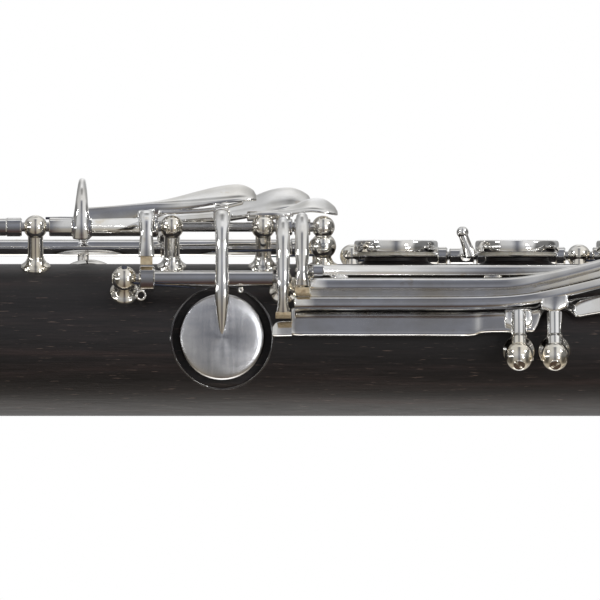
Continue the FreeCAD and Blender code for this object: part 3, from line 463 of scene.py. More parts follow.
def cork():
    """Pale cork: small cells and dark specks."""
    made, tree, shader = new_material("cork")
    cells = add_node(tree, "ShaderNodeTexVoronoi", {"feature": "F1"},
                     {"Vector": stretched(tree, (900, 900, 900)), "Scale": 1.0}).outputs["Distance"]
    specks = noise(tree, stretched(tree, (420, 420, 420)), 1.0, 6.0, 0.7)
    tone = ramp(tree, specks, [
        (0.32, (0.34, 0.22, 0.12)), (0.47, (0.62, 0.50, 0.33)), (0.7, (0.76, 0.66, 0.47))])
    shade = ramp(tree, cells, [(0.1, grey(0.72)), (0.6, grey(1.0))])
    tree.links.new(mixed(tree, 1.0, tone, shade, "MULTIPLY"), shader.inputs["Base Color"])
    shader.inputs["Roughness"].default_value = 0.86
    bump(tree, shader, specks, 0.5, 0.0003)
    return made


def ebonite():
    """Black hard rubber, polished, with faint file marks along it."""
    made, tree, shader = new_material("ebonite")
    marks = noise(tree, stretched(tree, (300, 60, 700)), 1.0, 5.0, 0.6)
    tone = ramp(tree, marks, [(0.3, (0.010, 0.010, 0.011)), (0.7, (0.022, 0.021, 0.021))])
    tree.links.new(tone, shader.inputs["Base Color"])
    tree.links.new(ranged(tree, marks, 0.3, 0.7, 0.14, 0.26), shader.inputs["Roughness"])
    shader.inputs["Coat Weight"].default_value = 0.3
    shader.inputs["Coat Roughness"].default_value = 0.08
    bump(tree, shader, marks, 0.06, 0.0002)
    return made


def cane():
    """Dried cane, with fibres along the reed."""
    made, tree, shader = new_material("cane")
    fibres = noise(tree, stretched(tree, (1500, 60, 400)), 1.0, 5.0, 0.6)
    tone = ramp(tree, fibres, [
        (0.3, (0.50, 0.33, 0.13)), (0.55, (0.72, 0.54, 0.27)), (0.8, (0.82, 0.66, 0.38))])
    tree.links.new(tone, shader.inputs["Base Color"])
    shader.inputs["Roughness"].default_value = 0.55
    bump(tree, shader, fibres, 0.3, 0.0002)
    return made


def pad_skin():
    """Bladder skin over felt: creamy white, thin and slightly wrinkled."""
    made, tree, shader = new_material("pad_skin")
    wrinkles = noise(tree, stretched(tree, (700, 700, 700)), 1.0, 6.0, 0.6, 1.2)
    tone = ramp(tree, wrinkles, [(0.3, (0.70, 0.64, 0.52)), (0.6, (0.84, 0.80, 0.71))])
    tree.links.new(tone, shader.inputs["Base Color"])
    shader.inputs["Roughness"].default_value = 0.42
    shader.inputs["Subsurface Weight"].default_value = 0.08
    bump(tree, shader, wrinkles, 0.25, 0.0002)
    return made


def steel(name, colour, rough):
    """Steel of screws and needle springs, with drawn lines."""
    made, tree, shader = new_material(name)
    lines = noise(tree, stretched(tree, (1600, 1600, 200)), 1.0, 4.0, 0.6)
    dark = tuple(channel * 0.72 for channel in colour)
    tree.links.new(ramp(tree, lines, [(0.3, dark), (0.7, colour)]), shader.inputs["Base Color"])
    tree.links.new(ranged(tree, lines, 0.3, 0.7, rough, rough + 0.12), shader.inputs["Roughness"])
    shader.inputs["Metallic"].default_value = 1.0
    bump(tree, shader, lines, 0.1, 0.0001)
    return made


SILVER = silver("silver_plate", (0.82, 0.80, 0.76), (0.95, 0.95, 0.95), (0.05, 0.13))
# Warmer copy of the silver plate, for the posts and the strip on lever 2: its warm tint is part tarnish and part
# painted reflection of the warm wood and cork nearby.
TARNISH_AND_WARM_REFLECTION = silver("tarnish_and_warm_reflection_silver", (0.87, 0.81, 0.69), (0.95, 0.94, 0.91), (0.07, 0.17))
CUP_FACE = turned_silver()
WOOD = grenadilla()
POLISHED_EDGE = polished_edge()
CORK = cork()
EBONITE = ebonite()
CANE = cane()
PAD = pad_skin()
STEEL = steel("steel", (0.62, 0.61, 0.60), 0.22)
BLUED = steel("blued_steel", (0.10, 0.11, 0.15), 0.25)
MATERIAL_OF = {"grenadilla": WOOD, "silver_plate": SILVER, "steel": STEEL, "cork": CORK, "ebonite": EBONITE,
               "cane": CANE, "pad_skin": PAD}

slot_of = {part["node"]: part["material_slot"] for part in frame["record"]["subparts"]}
for name, made in nodes.items():
    made.data.materials.clear()
    made.data.materials.append(MATERIAL_OF[slot_of[name]])
    made.data.shade_smooth()
    made.data.set_sharp_from_angle(angle=math.radians(CAD_SHARP_EDGE))

# ---- posts ----
BALL_R = 3.0
FOOT_R = 3.8
NECK_R = 1.95
# Height over which a post narrows from its foot to its neck.
WAIST = 2.9


def post_profile(reach, radius):
    """Foot, waisted neck and ball, as (distance from the body's axis, radius)."""
    neck = min(NECK_R, radius * 0.7)
    foot_top = BODY_R + 0.55
    rise = [(BODY_R - 3.0, FOOT_R - 0.2), (BODY_R + 0.25, FOOT_R - 0.1), (foot_top, FOOT_R - 0.25)]
    waist_steps, ball_steps = 8, 18
    for i in range(1, waist_steps + 1):
        share = i / waist_steps
        rise.append((foot_top + WAIST * share, neck + (FOOT_R - 0.45 - neck) * (1 - share) ** 2.4))
    start = math.asin(min(0.95, neck / radius))
    rise.append((reach - radius * math.cos(start) - 0.25, neck * 0.98))
    for i in range(ball_steps + 1):
        turn = start + (math.pi - start) * i / ball_steps
        rise.append((reach - radius * math.cos(turn), radius * math.sin(turn)))
    return rise


def post(shape, z, line, radius=BALL_R):
    lathe(shape, post_profile(reach_of(line), radius), at(z, 0, 0), outward(angle_of(line)), 40)


SCREW_SINK = 0.3
SCREW_STAND = 0.35
SLOT_DEPTH = 0.22


def slotted_screw(shape, centre, axis, radius, turn):
    """Low screw head: two half discs with the slot between them, turned by an angle in degrees."""
    side, other = frame_about(axis)
    c, s = math.cos(math.radians(turn)), math.sin(math.radians(turn))
    across, along = side * c + other * s, other * c - side * s
    slot_half = radius * 0.17
    slot_floor = SCREW_STAND - SLOT_DEPTH
    arc_steps = 16
    rim = radius * 0.97
    disc = [(-SCREW_SINK, 0.0), (-SCREW_SINK, rim), (slot_floor, rim), (slot_floor, 0.0)]
    lathe(shape, disc, centre, axis, 32)
    for half in (-1, 1):
        edge = []
        start = math.asin(slot_half / radius)
        for i in range(arc_steps + 1):
            t = start + (math.pi - 2 * start) * i / arc_steps
            edge.append(across * (radius * math.cos(t)) + along * (half * radius * math.sin(t)))
        middle = sum(edge, Vector()) / len(edge)
        rings = []
        for lift, scale in ((-SCREW_SINK, 1.0), (SCREW_STAND - 0.1, 1.0), (SCREW_STAND, 0.93)):
            rings.append([centre + axis * lift + middle + (point - middle) * scale for point in edge])
        shape.rings(rings)


# Heights of the posts on each hinge line, as in the CAD.
ON_A = [433.0, 624.0, 658.0, 680.8]
ON_B = [497.0, 695.0]
ON_D = [703.0, 760.0, 787.5]
UPPER_ON_D = [892.2, 922.5, 954.5, 985.0]
UPPER_ON_TOP = [992.0, 1021.0, 1050.0]
SIDE_POST_Z, SIDE_BALL_R = 646.3, 3.15
SMALL_POSTS = [(686.0, ROD_C, 2.0), (690.6, ROD_R1, 1.9), (ON_D[-1], ROD_R1, 2.2)]

# The end post of hinge line A carries a second, lower ball.
DOUBLE_Z = 695.8
DOUBLE_BALL_R = 3.25
double_centre = polar(DOUBLE_Z, angle_of(ROD_A), 24.4)

lower_posts = Shape()
for z in ON_A:
    post(lower_posts, z, ROD_A)
post(lower_posts, DOUBLE_Z, ROD_A, 2.9)
ball(lower_posts, double_centre, DOUBLE_BALL_R, outward(angle_of(ROD_A)))
for line, heights in ((ROD_B, ON_B), (ROD_D, ON_D)):
    for z in heights:
        post(lower_posts, z, line)
for z, line, radius in [(SIDE_POST_Z, ROD_C, SIDE_BALL_R)] + SMALL_POSTS:
    post(lower_posts, z, line, radius)

upper_posts = Shape()
for line, heights in ((ROD_D, UPPER_ON_D), (TOP_LINE, UPPER_ON_TOP)):
    for z in heights:
        post(upper_posts, z, line)

# See-saw posts of levers 3 and 2, with the pivot screw in the ball.
SEESAW_Z = [joint_of[name]["pos_m"][2] / MM for name in ("lever_3_press", "lever_2_press")]
SEESAW_LINE = hinge_line("lever_3_press")
SEESAW_AXIS = Vector((-0.5, -math.sqrt(0.75), 0.0))
SEESAW_BALL_R = 3.6
SEESAW_FOOT = [(-3, 4.0), (0.5, 4.05), (0.9, 3.8), (1.5, 2.9), (2.6, 2.3), (7.0, 2.2)]
SEESAW_COLLAR = [(2.5, 2.0), (4.95, 2.0), (5.2, 1.8), (5.2, 0.0)]
SCREW_FACING = math.radians(38)
for z, slot_turn in zip(SEESAW_Z, (35.0, -55.0)):
    foot = [(BODY_R + rise, radius) for rise, radius in SEESAW_FOOT]
    lathe(lower_posts, foot, at(z, 0, 0), outward(angle_of(SEESAW_LINE)), 40)
    centre = at(z, *SEESAW_LINE)
    ball(lower_posts, centre, SEESAW_BALL_R, SEESAW_AXIS)
    lathe(lower_posts, SEESAW_COLLAR, centre, SEESAW_AXIS, 40)
    facing = Vector((math.cos(SCREW_FACING), math.sin(SCREW_FACING), 0.0))
    slotted_screw(lower_posts, centre + facing * (SEESAW_BALL_R - 0.32), facing, 1.45, slot_turn)

# The register and trill keys rock between two small posts each.
ROCKER_REACH = 25.0
ROCKER_BALL_R = 2.3
ROCKER_HALF_SPAN = 7.6
ROCKER_POST = [(16.0, 3.0), (17.9, 3.0), (18.5, 2.5), (19.5, 1.95), (22.9, 1.7), (24.0, 1.6), (24.0, 0.0)]
for name, angle in (("register_open", 180.0), ("trill_open", -85.0)):
    across = ALONG.cross(outward(angle))
    for half in (-1, 1):
        start = at(joint_of[name]["pos_m"][2] / MM, 0, 0) + across * (half * ROCKER_HALF_SPAN)
        lathe(upper_posts, ROCKER_POST, start, outward(angle), 32)
        ball(upper_posts, start + outward(angle) * ROCKER_REACH, ROCKER_BALL_R, across)

# Screw ends of the hinge rods, seen in the outer faces of the end posts.
ROD_ENDS = [(ON_A[0] - 1.1, ROD_A, -1, lower_posts, BALL_R), (ON_B[0], ROD_B, -1, lower_posts, BALL_R),
            (ON_D[-1], ROD_D, 1, lower_posts, BALL_R), (SIDE_POST_Z, ROD_C, -1, lower_posts, SIDE_BALL_R),
            (UPPER_ON_D[0], ROD_D, -1, upper_posts, BALL_R),
            (UPPER_ON_TOP[-1], TOP_LINE, 1, upper_posts, BALL_R)]
for z, line, way, shape, radius in ROD_ENDS:
    slotted_screw(shape, at(z, *line) + ALONG * (way * (radius - 0.45)), ALONG * way, 1.3, 40.0)

# The posts are in the warmer silver, whose tint is part tarnish and part painted warm reflection.
lower_posts.piece("lower_posts_turned", "instrument", "silver_plate", TARNISH_AND_WARM_REFLECTION, ["lower_joint_posts"])
upper_posts.piece("upper_posts_turned", "instrument", "silver_plate", TARNISH_AND_WARM_REFLECTION, ["upper_joint_posts"])

# ---- small fittings on the posts: cross holes, needle springs and their hooks ----


def needle(shape, start, end, radius=0.32):
    """Needle spring: a slim pin that tapers to its working end."""
    axis = end - start
    taper = [(0.0, radius), (axis.length * 0.5, radius * 0.9), (axis.length, radius * 0.45)]
    lathe(shape, taper, start, axis, 14)


# A cross hole is (centre of its ball, how far out it lies, angle that it faces, radius).
CROSS_HOLES = [(at(SIDE_POST_Z, *ROD_C), SIDE_BALL_R, 63.0, 0.95), (double_centre, 3.1, 4.0, 0.75)]
holes = Shape()
for centre, reach, lift, size in CROSS_HOLES:
    turn = math.radians(lift)
    facing = Vector((math.cos(turn), -math.sin(turn), 0.0))
    plug = [(-0.6, 0.0), (-0.6, size * 0.6), (-0.05, size * 0.72), (0.16, size * 0.8), (0.16, 0.0)]
    lathe(holes, plug, centre + facing * (reach - 0.05), facing, 24)
holes.piece("cross_holes", "instrument", "steel", BLUED)

# A spring is its fixed end and its free end, each (z, front, left).
SPRINGS = [((626.5, 30.4, 5.2), (634.0, 30.6, 5.9)), ((648.6, 14.2, 21.0), (664.0, 13.0, 20.6)),
           ((683.0, 22.4, 10.4), (668.0, 22.0, 11.4)), ((697.5, 21.4, -13.0), (680.0, 20.8, -14.2))]
PLATE_SPRINGS = [(704.6, 716.0), (761.6, 776.0), (786.0, 775.4), (894.0, 908.0), (924.2, 940.0),
                 (956.0, 971.0)]
SPRINGS += [((fixed, 19.9, -13.6), (free, 19.6, -13.0)) for fixed, free in PLATE_SPRINGS]
THROAT_SPRINGS = [(1051.0, 1034.0), (1022.4, 1006.0)]
SPRINGS += [((fixed, 18.2, 15.8), (free, 18.0, 15.6)) for fixed, free in THROAT_SPRINGS]
springs = Shape()
for fixed, free in SPRINGS:
    needle(springs, at(*fixed), at(*free))
springs.piece("needle_springs", "instrument", "steel", BLUED)

# Polished edge of the sunk seat that the side cup lies in.
SIDE_Z = joint_of["side_cup_open"]["pos_m"][2] / MM
SIDE_ANGLE = 87.5
SEAT_MOUTH_R = 12.7
SEAT_BEAD_R = 0.32


def seat_edge(shape, z, angle, radius, bead):
    """Bead along the line where a round pocket cuts the round body."""
    steps, sides = 96, 10
    out = outward(angle)
    across = ALONG.cross(out)
    points = []
    for i in range(steps):
        turn = 2 * math.pi * i / steps
        up, sideways = math.cos(turn), math.sin(turn)
        reach = math.sqrt(BODY_R ** 2 - (radius * sideways) ** 2)
        middle = at(z + radius * up, 0, 0) + out * (reach - bead * 0.45) + across * radius * sideways
        away = Vector((0, 0, up)) + across * sideways
        for j in range(sides):
            swing = 2 * math.pi * j / sides
            points.append(middle + (away * math.cos(swing) + out * math.sin(swing)) * bead)
    shape.hoop(points, sides)


seat_rim = Shape()
seat_edge(seat_rim, SIDE_Z, SIDE_ANGLE, SEAT_MOUTH_R, SEAT_BEAD_R)
seat_rim.piece("side_seat_edge", "instrument", "grenadilla", POLISHED_EDGE)

# ---- cups, arms and touches ----
POCKET_SEAT = 16.3
PAD_GAP = 0.35
PAD_THICK = 1.4
CUP_LOW = POCKET_SEAT + PAD_GAP + PAD_THICK


def swung(shape, first, line, turn):
    """Turns the points added since first about a hinge line along the body."""
    pivot = at(0, *line)
    c, s = math.cos(math.radians(turn)), math.sin(math.radians(turn))
    for i in range(first, len(shape.points)):
        v = shape.points[i] - pivot
        shape.points[i] = pivot + Vector((v.x * c - v.y * s, v.x * s + v.y * c, v.z))


def cup(shape, z, angle, radius, line=None, turn=0.0, height=3.0):
    """Pad cup: a thin rolled rim, a shoulder and a low dome. An open one is turned about its hinge."""
    first = len(shape.points)
    low = CUP_LOW
    dome_steps = 12
    profile = [(low + 0.9, 0.0), (low + 0.9, radius - 0.7), (low + 0.05, radius - 0.6), (low, radius - 0.3),
               (low + 0.12, radius), (low + height * 0.36, radius), (low + height * 0.52, radius * 0.975)]
    for i in range(1, dome_steps + 1):
        turn_up = math.pi / 2 * i / dome_steps
        rise = height * (0.52 + 0.48 * math.sin(turn_up))
        profile.append((low + rise, radius * 0.975 * math.cos(turn_up)))
    lathe(shape, profile, at(z, 0, 0), outward(angle), 72)
    if line:
        swung(shape, first, line, turn)


def key_piece(shape, name, body, node):
    """Plated piece that stands for a key's CAD node."""
    shape.piece(name, body, "silver_plate", SILVER, [node])


# Side cup key: the face of the cup, and the ridged arm that crosses over its hinge tube.
side_arm = Shape()
turned_tube(side_arm, 649.9, 683.4, ROD_C, 2.0, [(650.0, 653.9, 3.2)])
arm(side_arm, [
    (1.2, 31.15, 1.0, 3.4), (3.2, 31.5, 1.7, 4.3), (6.2, 31.8, 2.4, 4.6), (10.0, 31.6, 2.8, 4.6),
    (14.0, 30.5, 3.0, 4.3), (18.4, 27.2, 3.0, 3.5), (21.2, 22.4, 2.8, 3.2), (22.7, 15.6, 2.8, 3.4),
    (22.9, 11.4, 2.6, 3.6), (22.3, 7.2, 2.2, 2.9), (21.4, 3.6, 1.5, 1.8),
    (20.9, 1.9, 0.7, 0.7)], SIDE_Z, 2.2, 7, 0.3)
arm(side_arm, [(18.8, 15.3, 3.0, 3.4), (20.6, 15.4, 3.0, 3.4), (22.4, 15.5, 3.0, 3.2)], SIDE_Z, 2.6, 4)
key_piece(side_arm, "side_cup_arm_and_tube", "side_cup", "side_cup_key")
face = Shape()
cup(face, SIDE_Z, SIDE_ANGLE, 10.7, height=2.6)
face.piece("side_cup_face", "side_cup", "silver_plate", CUP_FACE, ["side_cup_key"])
hook = Shape()
for z, front, left, radius in ((650.4, 11.2, 20.4, 1.35), (675.2, 12.5, 20.3, 0.7)):
    section = [(-0.35, radius), (0.35, radius), (0.35, radius - 0.5), (-0.35, radius - 0.5)]
    turned_ring(hook, section, at(z, front, left), Vector((1, 0.1, 0.15)), 28, 0.12)
hook.piece("side_cup_spring_hooks", "side_cup", "silver_plate", SILVER)

# Low F key: the blade that arches over to the far cup, spatula 1 and the stop arm.
low_f = Shape()
turned_tube(low_f, 627.4, 654.6, ROD_A, 2.35, [(633.0, 638.2, 2.7), (652.2, 654.6, 2.6)])
arm(low_f, [
    (9.4, 25.4, 2.2, 4.4), (9.4, 28.6, 3.6, 4.6), (7.6, 33.4, 3.4, 3.3), (3.0, 37.2, 2.8, 2.4),
    (-3.0, 39.2, 2.4, 1.9), (-10.0, 38.9, 2.2, 2.0), (-18.0, 35.2, 2.2, 2.4), (-23.6, 28.0, 2.2, 2.8),
    (-23.4, 20.6, 2.0, 2.8), (-17.0, 14.6, 1.6, 2.8)], 635.5, 2.3, 7)
arm(low_f, [
    (9.3, 26.4, 1.6, 3.9), (10.4, 29.0, 2.8, 4.2), (12.4, 30.9, 2.8, 4.0), (15.6, 30.5, 2.6, 3.5),
    (18.6, 27.4, 2.4, 3.1), (20.0, 23.6, 2.0, 3.6), (20.3, 20.9, 1.7, 4.0)], 651.8, 2.6, 7)
bar(low_f, [
    (637.2, 29.6, 8.1, 7.0, 2.6, 0), (643.0, 30.5, 7.9, 6.0, 2.4, 4), (652.5, 32.2, 7.2, 4.6, 3.2, 14),
    (658.0, 33.6, 6.4, 3.2, 5.6, 20), (664.0, 35.0, 5.8, 2.4, 8.6, 22), (670.0, 36.2, 5.2, 2.0, 10.6, 22),
    (675.0, 36.7, 5.0, 1.8, 10.4, 22), (678.0, 36.2, 5.0, 1.5, 7.6, 20),
    (679.0, 35.6, 5.0, 1.0, 4.0, 18)], 2.5, 7, 0.3)
bar(low_f, [
    (655.0, 31.9, 8.6, 1.2, 2.6, 4), (660.0, 32.0, 8.4, 1.2, 2.4, 4), (668.0, 32.6, 8.2, 1.1, 1.8, 8),
    (675.5, 34.2, 7.8, 0.9, 1.0, 12)], 3.0, 5)
cup(low_f, 637.0, -50.0, 8.4, ROD_A, opening_turn("low_f_press"))
key_piece(low_f, "low_f_blade_and_spatula", "low_f", "low_f_key")

# Low E key: spatula 2 on the far hinge, with the tab that works the side cup.
low_e = Shape()
turned_tube(low_e, 500.4, 691.6, ROD_B, 2.2, [(501.0, 505.0, 2.5), (655.0, 659.6, 2.6),
                                              (687.6, 691.6, 2.5)])
bar(low_e, [
    (653.8, 29.4, -9.5, 3.2, 3.4, 0), (662.0, 30.0, -8.6, 3.2, 4.6, 10), (670.0, 31.2, -8.0, 3.0, 7.0, 20),
    (677.0, 33.0, -7.6, 2.4, 10.0, 26), (683.0, 34.8, -7.4, 2.0, 11.6, 28),
    (688.0, 35.4, -7.3, 1.8, 11.0, 28), (691.6, 34.8, -7.2, 1.5, 7.6, 26),
    (692.8, 34.2, -7.2, 1.0, 3.6, 24)], 2.5, 7, 0.3)
arm(low_e, [
    (-18.0, 23.1, 4.0, 6.0), (-16.5, 26.6, 3.0, 5.6), (-12.0, 28.8, 2.8, 5.2),
    (-8.0, 29.0, 2.6, 5.0)], 657.0)
arm(low_e, [
    (-8.0, 30.6, 2.4, 4.2), (-4.6, 32.6, 1.8, 4.0), (-2.0, 33.3, 1.5, 3.8), (0.6, 33.4, 1.2, 3.2)], SIDE_Z)
arm(low_e, [(-18.0, 23.1, 3.4, 5.0), (-12.0, 25.4, 2.6, 4.6), (-4.0, 23.8, 2.0, 4.0)], 520.0)
cup(low_e, 520.0, -8.0, 10.4, ROD_B, -opening_turn("low_e_press"))
key_piece(low_e, "low_e_spatula_and_cup", "low_e", "low_e_key")

low_e_flat = Shape()
turned_tube(low_e_flat, 436.4, 620.6, ROD_A, 2.25, [(437.0, 441.0, 2.4), (596.0, 600.0, 2.4),
                                                    (616.6, 620.6, 2.4)])
arm(low_e_flat, [(8.1, 28.2, 3.4, 5.0), (0.0, 27.2, 2.6, 4.6), (-7.4, 22.6, 2.0, 4.0)], 450.0)
bar(low_e_flat, [
    (580.0, 30.6, 6.6, 3.0, 4.0, 0), (588.0, 33.0, 4.0, 2.2, 9.0, 4), (598.0, 34.4, 3.2, 1.9, 12.6, 6),
    (606.0, 34.0, 3.0, 1.7, 12.0, 6), (610.0, 33.0, 3.0, 1.4, 8.6, 6),
    (611.0, 32.6, 3.0, 1.0, 5.0, 6)], 2.5, 6)
cup(low_e_flat, 450.0, -25.0, 11.0, ROD_A, opening_turn("low_e_flat_press"))
key_piece(low_e_flat, "low_e_flat_touch_and_cup", "low_e_flat", "low_e_flat_key")

# The two sharps: lifted arms with a ridge, each over the end of its lever.
f_sharp = Shape()
turned_tube(f_sharp, 683.9, 688.1, ROD_A, 2.1)
arm(f_sharp, [
    (8.1, 28.4, 3.4, 2.9), (11.4, 29.4, 2.8, 2.9), (15.4, 28.4, 2.6, 3.2), (19.6, 25.0, 2.6, 3.4),
    (22.2, 20.4, 2.6, 3.4), (23.3, 15.0, 2.5, 3.2), (23.2, 11.0, 2.3, 2.6), (22.7, 8.6, 2.2, 3.0),
    (22.3, 7.0, 2.0, 3.5)], 685.8, 2.1, 7, 0.25)
arm(f_sharp, [
    (8.1, 28.2, 3.8, 2.6), (2.0, 26.6, 2.4, 2.6), (-6.0, 24.6, 2.4, 2.6), (-12.6, 21.0, 2.2, 2.6),
    (-18.3, 13.6, 2.0, 2.6)], 685.3)
bar(f_sharp, [
    (673.0, 13.3, -19.0, 2.0, 4.0, -55), (680.0, 13.3, -19.0, 2.0, 4.0, -55),
    (686.5, 13.0, -18.5, 2.0, 4.0, -55)], 2.6, 3)
bar(f_sharp, [
    (677.0, 30.9, 6.4, 2.6, 1.8, 0), (683.0, 31.1, 6.6, 2.4, 3.0, 6), (688.0, 32.4, 6.2, 1.6, 6.0, 16),
    (692.4, 33.6, 5.8, 1.5, 8.8, 20), (696.0, 33.4, 5.6, 1.5, 9.4, 20), (698.4, 32.4, 5.6, 1.3, 6.6, 18),
    (699.2, 31.8, 5.6, 0.9, 3.6, 16)], 2.5, 7, 0.3)
bar(f_sharp, [
    (677.6, 31.3, 8.2, 1.1, 2.0, 0), (684.0, 31.4, 8.2, 1.1, 2.4, 0),
    (688.0, 31.3, 7.8, 1.1, 2.0, 0)], 3.0, 3)
arm(f_sharp, [(8.1, 28.2, 3.6, 3.6), (7.2, 30.6, 3.2, 3.6), (6.4, 31.6, 3.0, 3.6)], 685.8, 2.6, 4)
cup(f_sharp, 673.0, -55.0, 8.0, ROD_A, opening_turn("f_sharp_close"))
key_piece(f_sharp, "f_sharp_arm_and_spatula", "f_sharp", "f_sharp_key")

d_sharp = Shape()
turned_tube(d_sharp, 688.6, 692.6, ROD_A, 2.1)
arm(d_sharp, [
    (8.1, 28.6, 3.4, 3.0), (11.0, 30.4, 2.8, 3.0), (14.6, 29.6, 2.6, 3.2), (18.8, 26.0, 2.6, 3.4),
    (21.6, 21.6, 2.6, 3.5), (22.7, 18.0, 2.4, 2.8), (22.8, 15.6, 2.2, 3.0),
    (22.6, 13.8, 2.0, 3.5)], 690.5, 2.1, 7, 0.25)
arm(d_sharp, [
    (8.1, 28.2, 3.8, 2.6), (2.0, 26.0, 2.4, 2.6), (-6.0, 23.4, 2.4, 2.6), (-12.4, 19.6, 2.2, 2.6),
    (-18.2, 13.6, 2.2, 2.6), (-21.8, 7.0, 2.0, 2.6)], 690.2)
bar(d_sharp, [
    (689.0, 7.2, -21.8, 2.0, 4.0, -72), (695.0, 7.2, -21.9, 2.0, 4.0, -72),
    (702.0, 7.0, -21.8, 2.0, 4.0, -72)], 2.6, 3)
cup(d_sharp, 702.0, -72.0, 7.5, ROD_A, opening_turn("d_sharp_close"))
key_piece(d_sharp, "d_sharp_arm_and_cup", "d_sharp", "d_sharp_key")

# The cork under each arm's end, where its lever lifts it: (body, from, to, section).
LIFT_CORKS = {"lift_cork_3": ("f_sharp", 684.0, 687.7, (6.2, 22.2, 1.0, 2.6, -20)),
              "lift_cork_2": ("d_sharp", 688.9, 692.3, (12.1, 22.6, 1.8, 2.0, -20))}
for name, (body, low, high, section) in LIFT_CORKS.items():
    lift_cork = Shape()
    bar(lift_cork, [(low, *section), (high, *section)], 6.0, 2, 0.1)
    lift_cork.piece(name, body, "cork", CORK)

# ---- left-hand levers ----
LEAN = -28.0


def seesaw_stem(shape, z):
    """Stem that joins a lever to the ball of its see-saw post."""
    profile = [(5.7, 0.0), (5.7, 1.95), (12.2, 1.95), (12.4, 1.7), (12.4, 0.0)]
    lathe(shape, profile, at(z, *SEESAW_LINE), SEESAW_AXIS, 36)


lever_3 = Shape()
bar(lever_3, [
    (683.2, 2.0, 20.6, 2.4, 1.6, LEAN), (684.4, 2.6, 20.6, 3.8, 1.6, LEAN),
    (688.0, 2.8, 20.7, 4.0, 1.6, LEAN)], 9.0, 3, 0.15)
bar(lever_3, [
    (688.4, 4.4, 20.9, 5.6, 1.6, LEAN), (688.9, 4.6, 20.9, 7.6, 1.6, LEAN),
    (700.0, 4.6, 20.9, 7.8, 1.6, LEAN), (718.0, 4.6, 20.9, 7.8, 1.6, LEAN),
    (732.0, 4.6, 20.9, 7.8, 1.6, LEAN), (736.0, 5.0, 20.9, 6.9, 1.6, LEAN),
    (746.0, 5.1, 20.8, 6.7, 1.6, LEAN), (748.6, 5.4, 20.6, 6.2, 1.6, LEAN),
    (751.0, 8.4, 19.0, 2.4, 1.5, LEAN), (756.0, 8.6, 18.8, 2.4, 1.5, LEAN),
    (758.6, 8.0, 20.2, 4.8, 1.6, LEAN), (762.0, 8.4, 21.0, 4.8, 1.6, LEAN),
    (773.0, 10.2, 22.6, 4.4, 1.7, LEAN), (785.0, 12.5, 24.6, 4.0, 1.8, LEAN),
    (803.0, 15.0, 26.0, 4.2, 1.9, LEAN), (812.0, 16.2, 26.6, 5.4, 2.0, LEAN),
    (820.0, 17.4, 27.1, 9.6, 2.0, LEAN), (830.0, 18.4, 27.3, 10.4, 1.9, LEAN),
    (836.0, 18.8, 27.1, 7.4, 1.5, LEAN), (838.0, 18.8, 27.0, 4.0, 1.1, LEAN)], 7.0, 5, 0.15)
seesaw_stem(lever_3, SEESAW_Z[0])
bar(lever_3, [
    (741.2, 5.6, 22.3, 4.4, 2.0, LEAN), (744.4, 5.4, 22.5, 6.0, 2.2, LEAN),
    (747.4, 5.6, 22.3, 4.4, 2.0, LEAN)], 2.6, 5)
key_piece(lever_3, "lever_3_plate", "left_lever_3", "lever_3")

lever_2 = Shape()
bar(lever_2, [
    (688.8, 9.3, 22.4, 2.9, 2.0, LEAN), (715.0, 9.3, 22.4, 2.9, 2.0, LEAN),
    (735.0, 9.4, 22.4, 2.9, 2.0, LEAN), (745.0, 10.0, 22.2, 2.8, 1.9, LEAN),
    (752.0, 11.2, 21.8, 2.7, 1.9, LEAN), (765.0, 14.2, 21.8, 2.6, 1.9, LEAN),
    (782.0, 18.6, 22.6, 2.8, 1.8, LEAN), (800.0, 22.6, 22.4, 3.4, 1.9, LEAN - 6),
    (808.0, 23.8, 22.0, 8.6, 2.0, LEAN - 12), (816.0, 24.5, 21.7, 9.6, 1.8, LEAN - 12),
    (821.4, 24.8, 21.2, 6.6, 1.5, LEAN - 12), (823.0, 24.8, 21.0, 3.6, 1.1, LEAN - 12)], 2.9, 5, 0.35)
seesaw_stem(lever_2, SEESAW_Z[1])
bar(lever_2, [
    (750.2, 9.4, 22.4, 3.6, 2.0, LEAN), (753.3, 9.3, 22.6, 5.2, 2.2, LEAN),
    (756.4, 9.8, 22.3, 3.6, 2.0, LEAN)], 2.6, 5)
key_piece(lever_2, "lever_2_bar", "left_lever_2", "lever_2")

# Strip in the warmer silver along the top of lever 2: a painted warm reflection on the bar's upper face.
edge = Shape()
bar(edge, [
    (689.6, 11.5, 20.4, 1.9, 0.8, LEAN), (715.0, 11.5, 20.4, 1.9, 0.8, LEAN),
    (735.0, 11.6, 20.4, 1.9, 0.8, LEAN), (745.0, 12.2, 20.3, 1.9, 0.8, LEAN),
    (752.0, 13.5, 20.1, 1.9, 0.8, LEAN), (765.0, 16.5, 20.2, 1.9, 0.8, LEAN),
    (780.0, 20.4, 20.6, 1.6, 0.8, LEAN)], 4.2, 4, 0.2)
edge.piece("lever_2_painted_reflection_strip", "left_lever_2", "silver_plate", TARNISH_AND_WARM_REFLECTION)

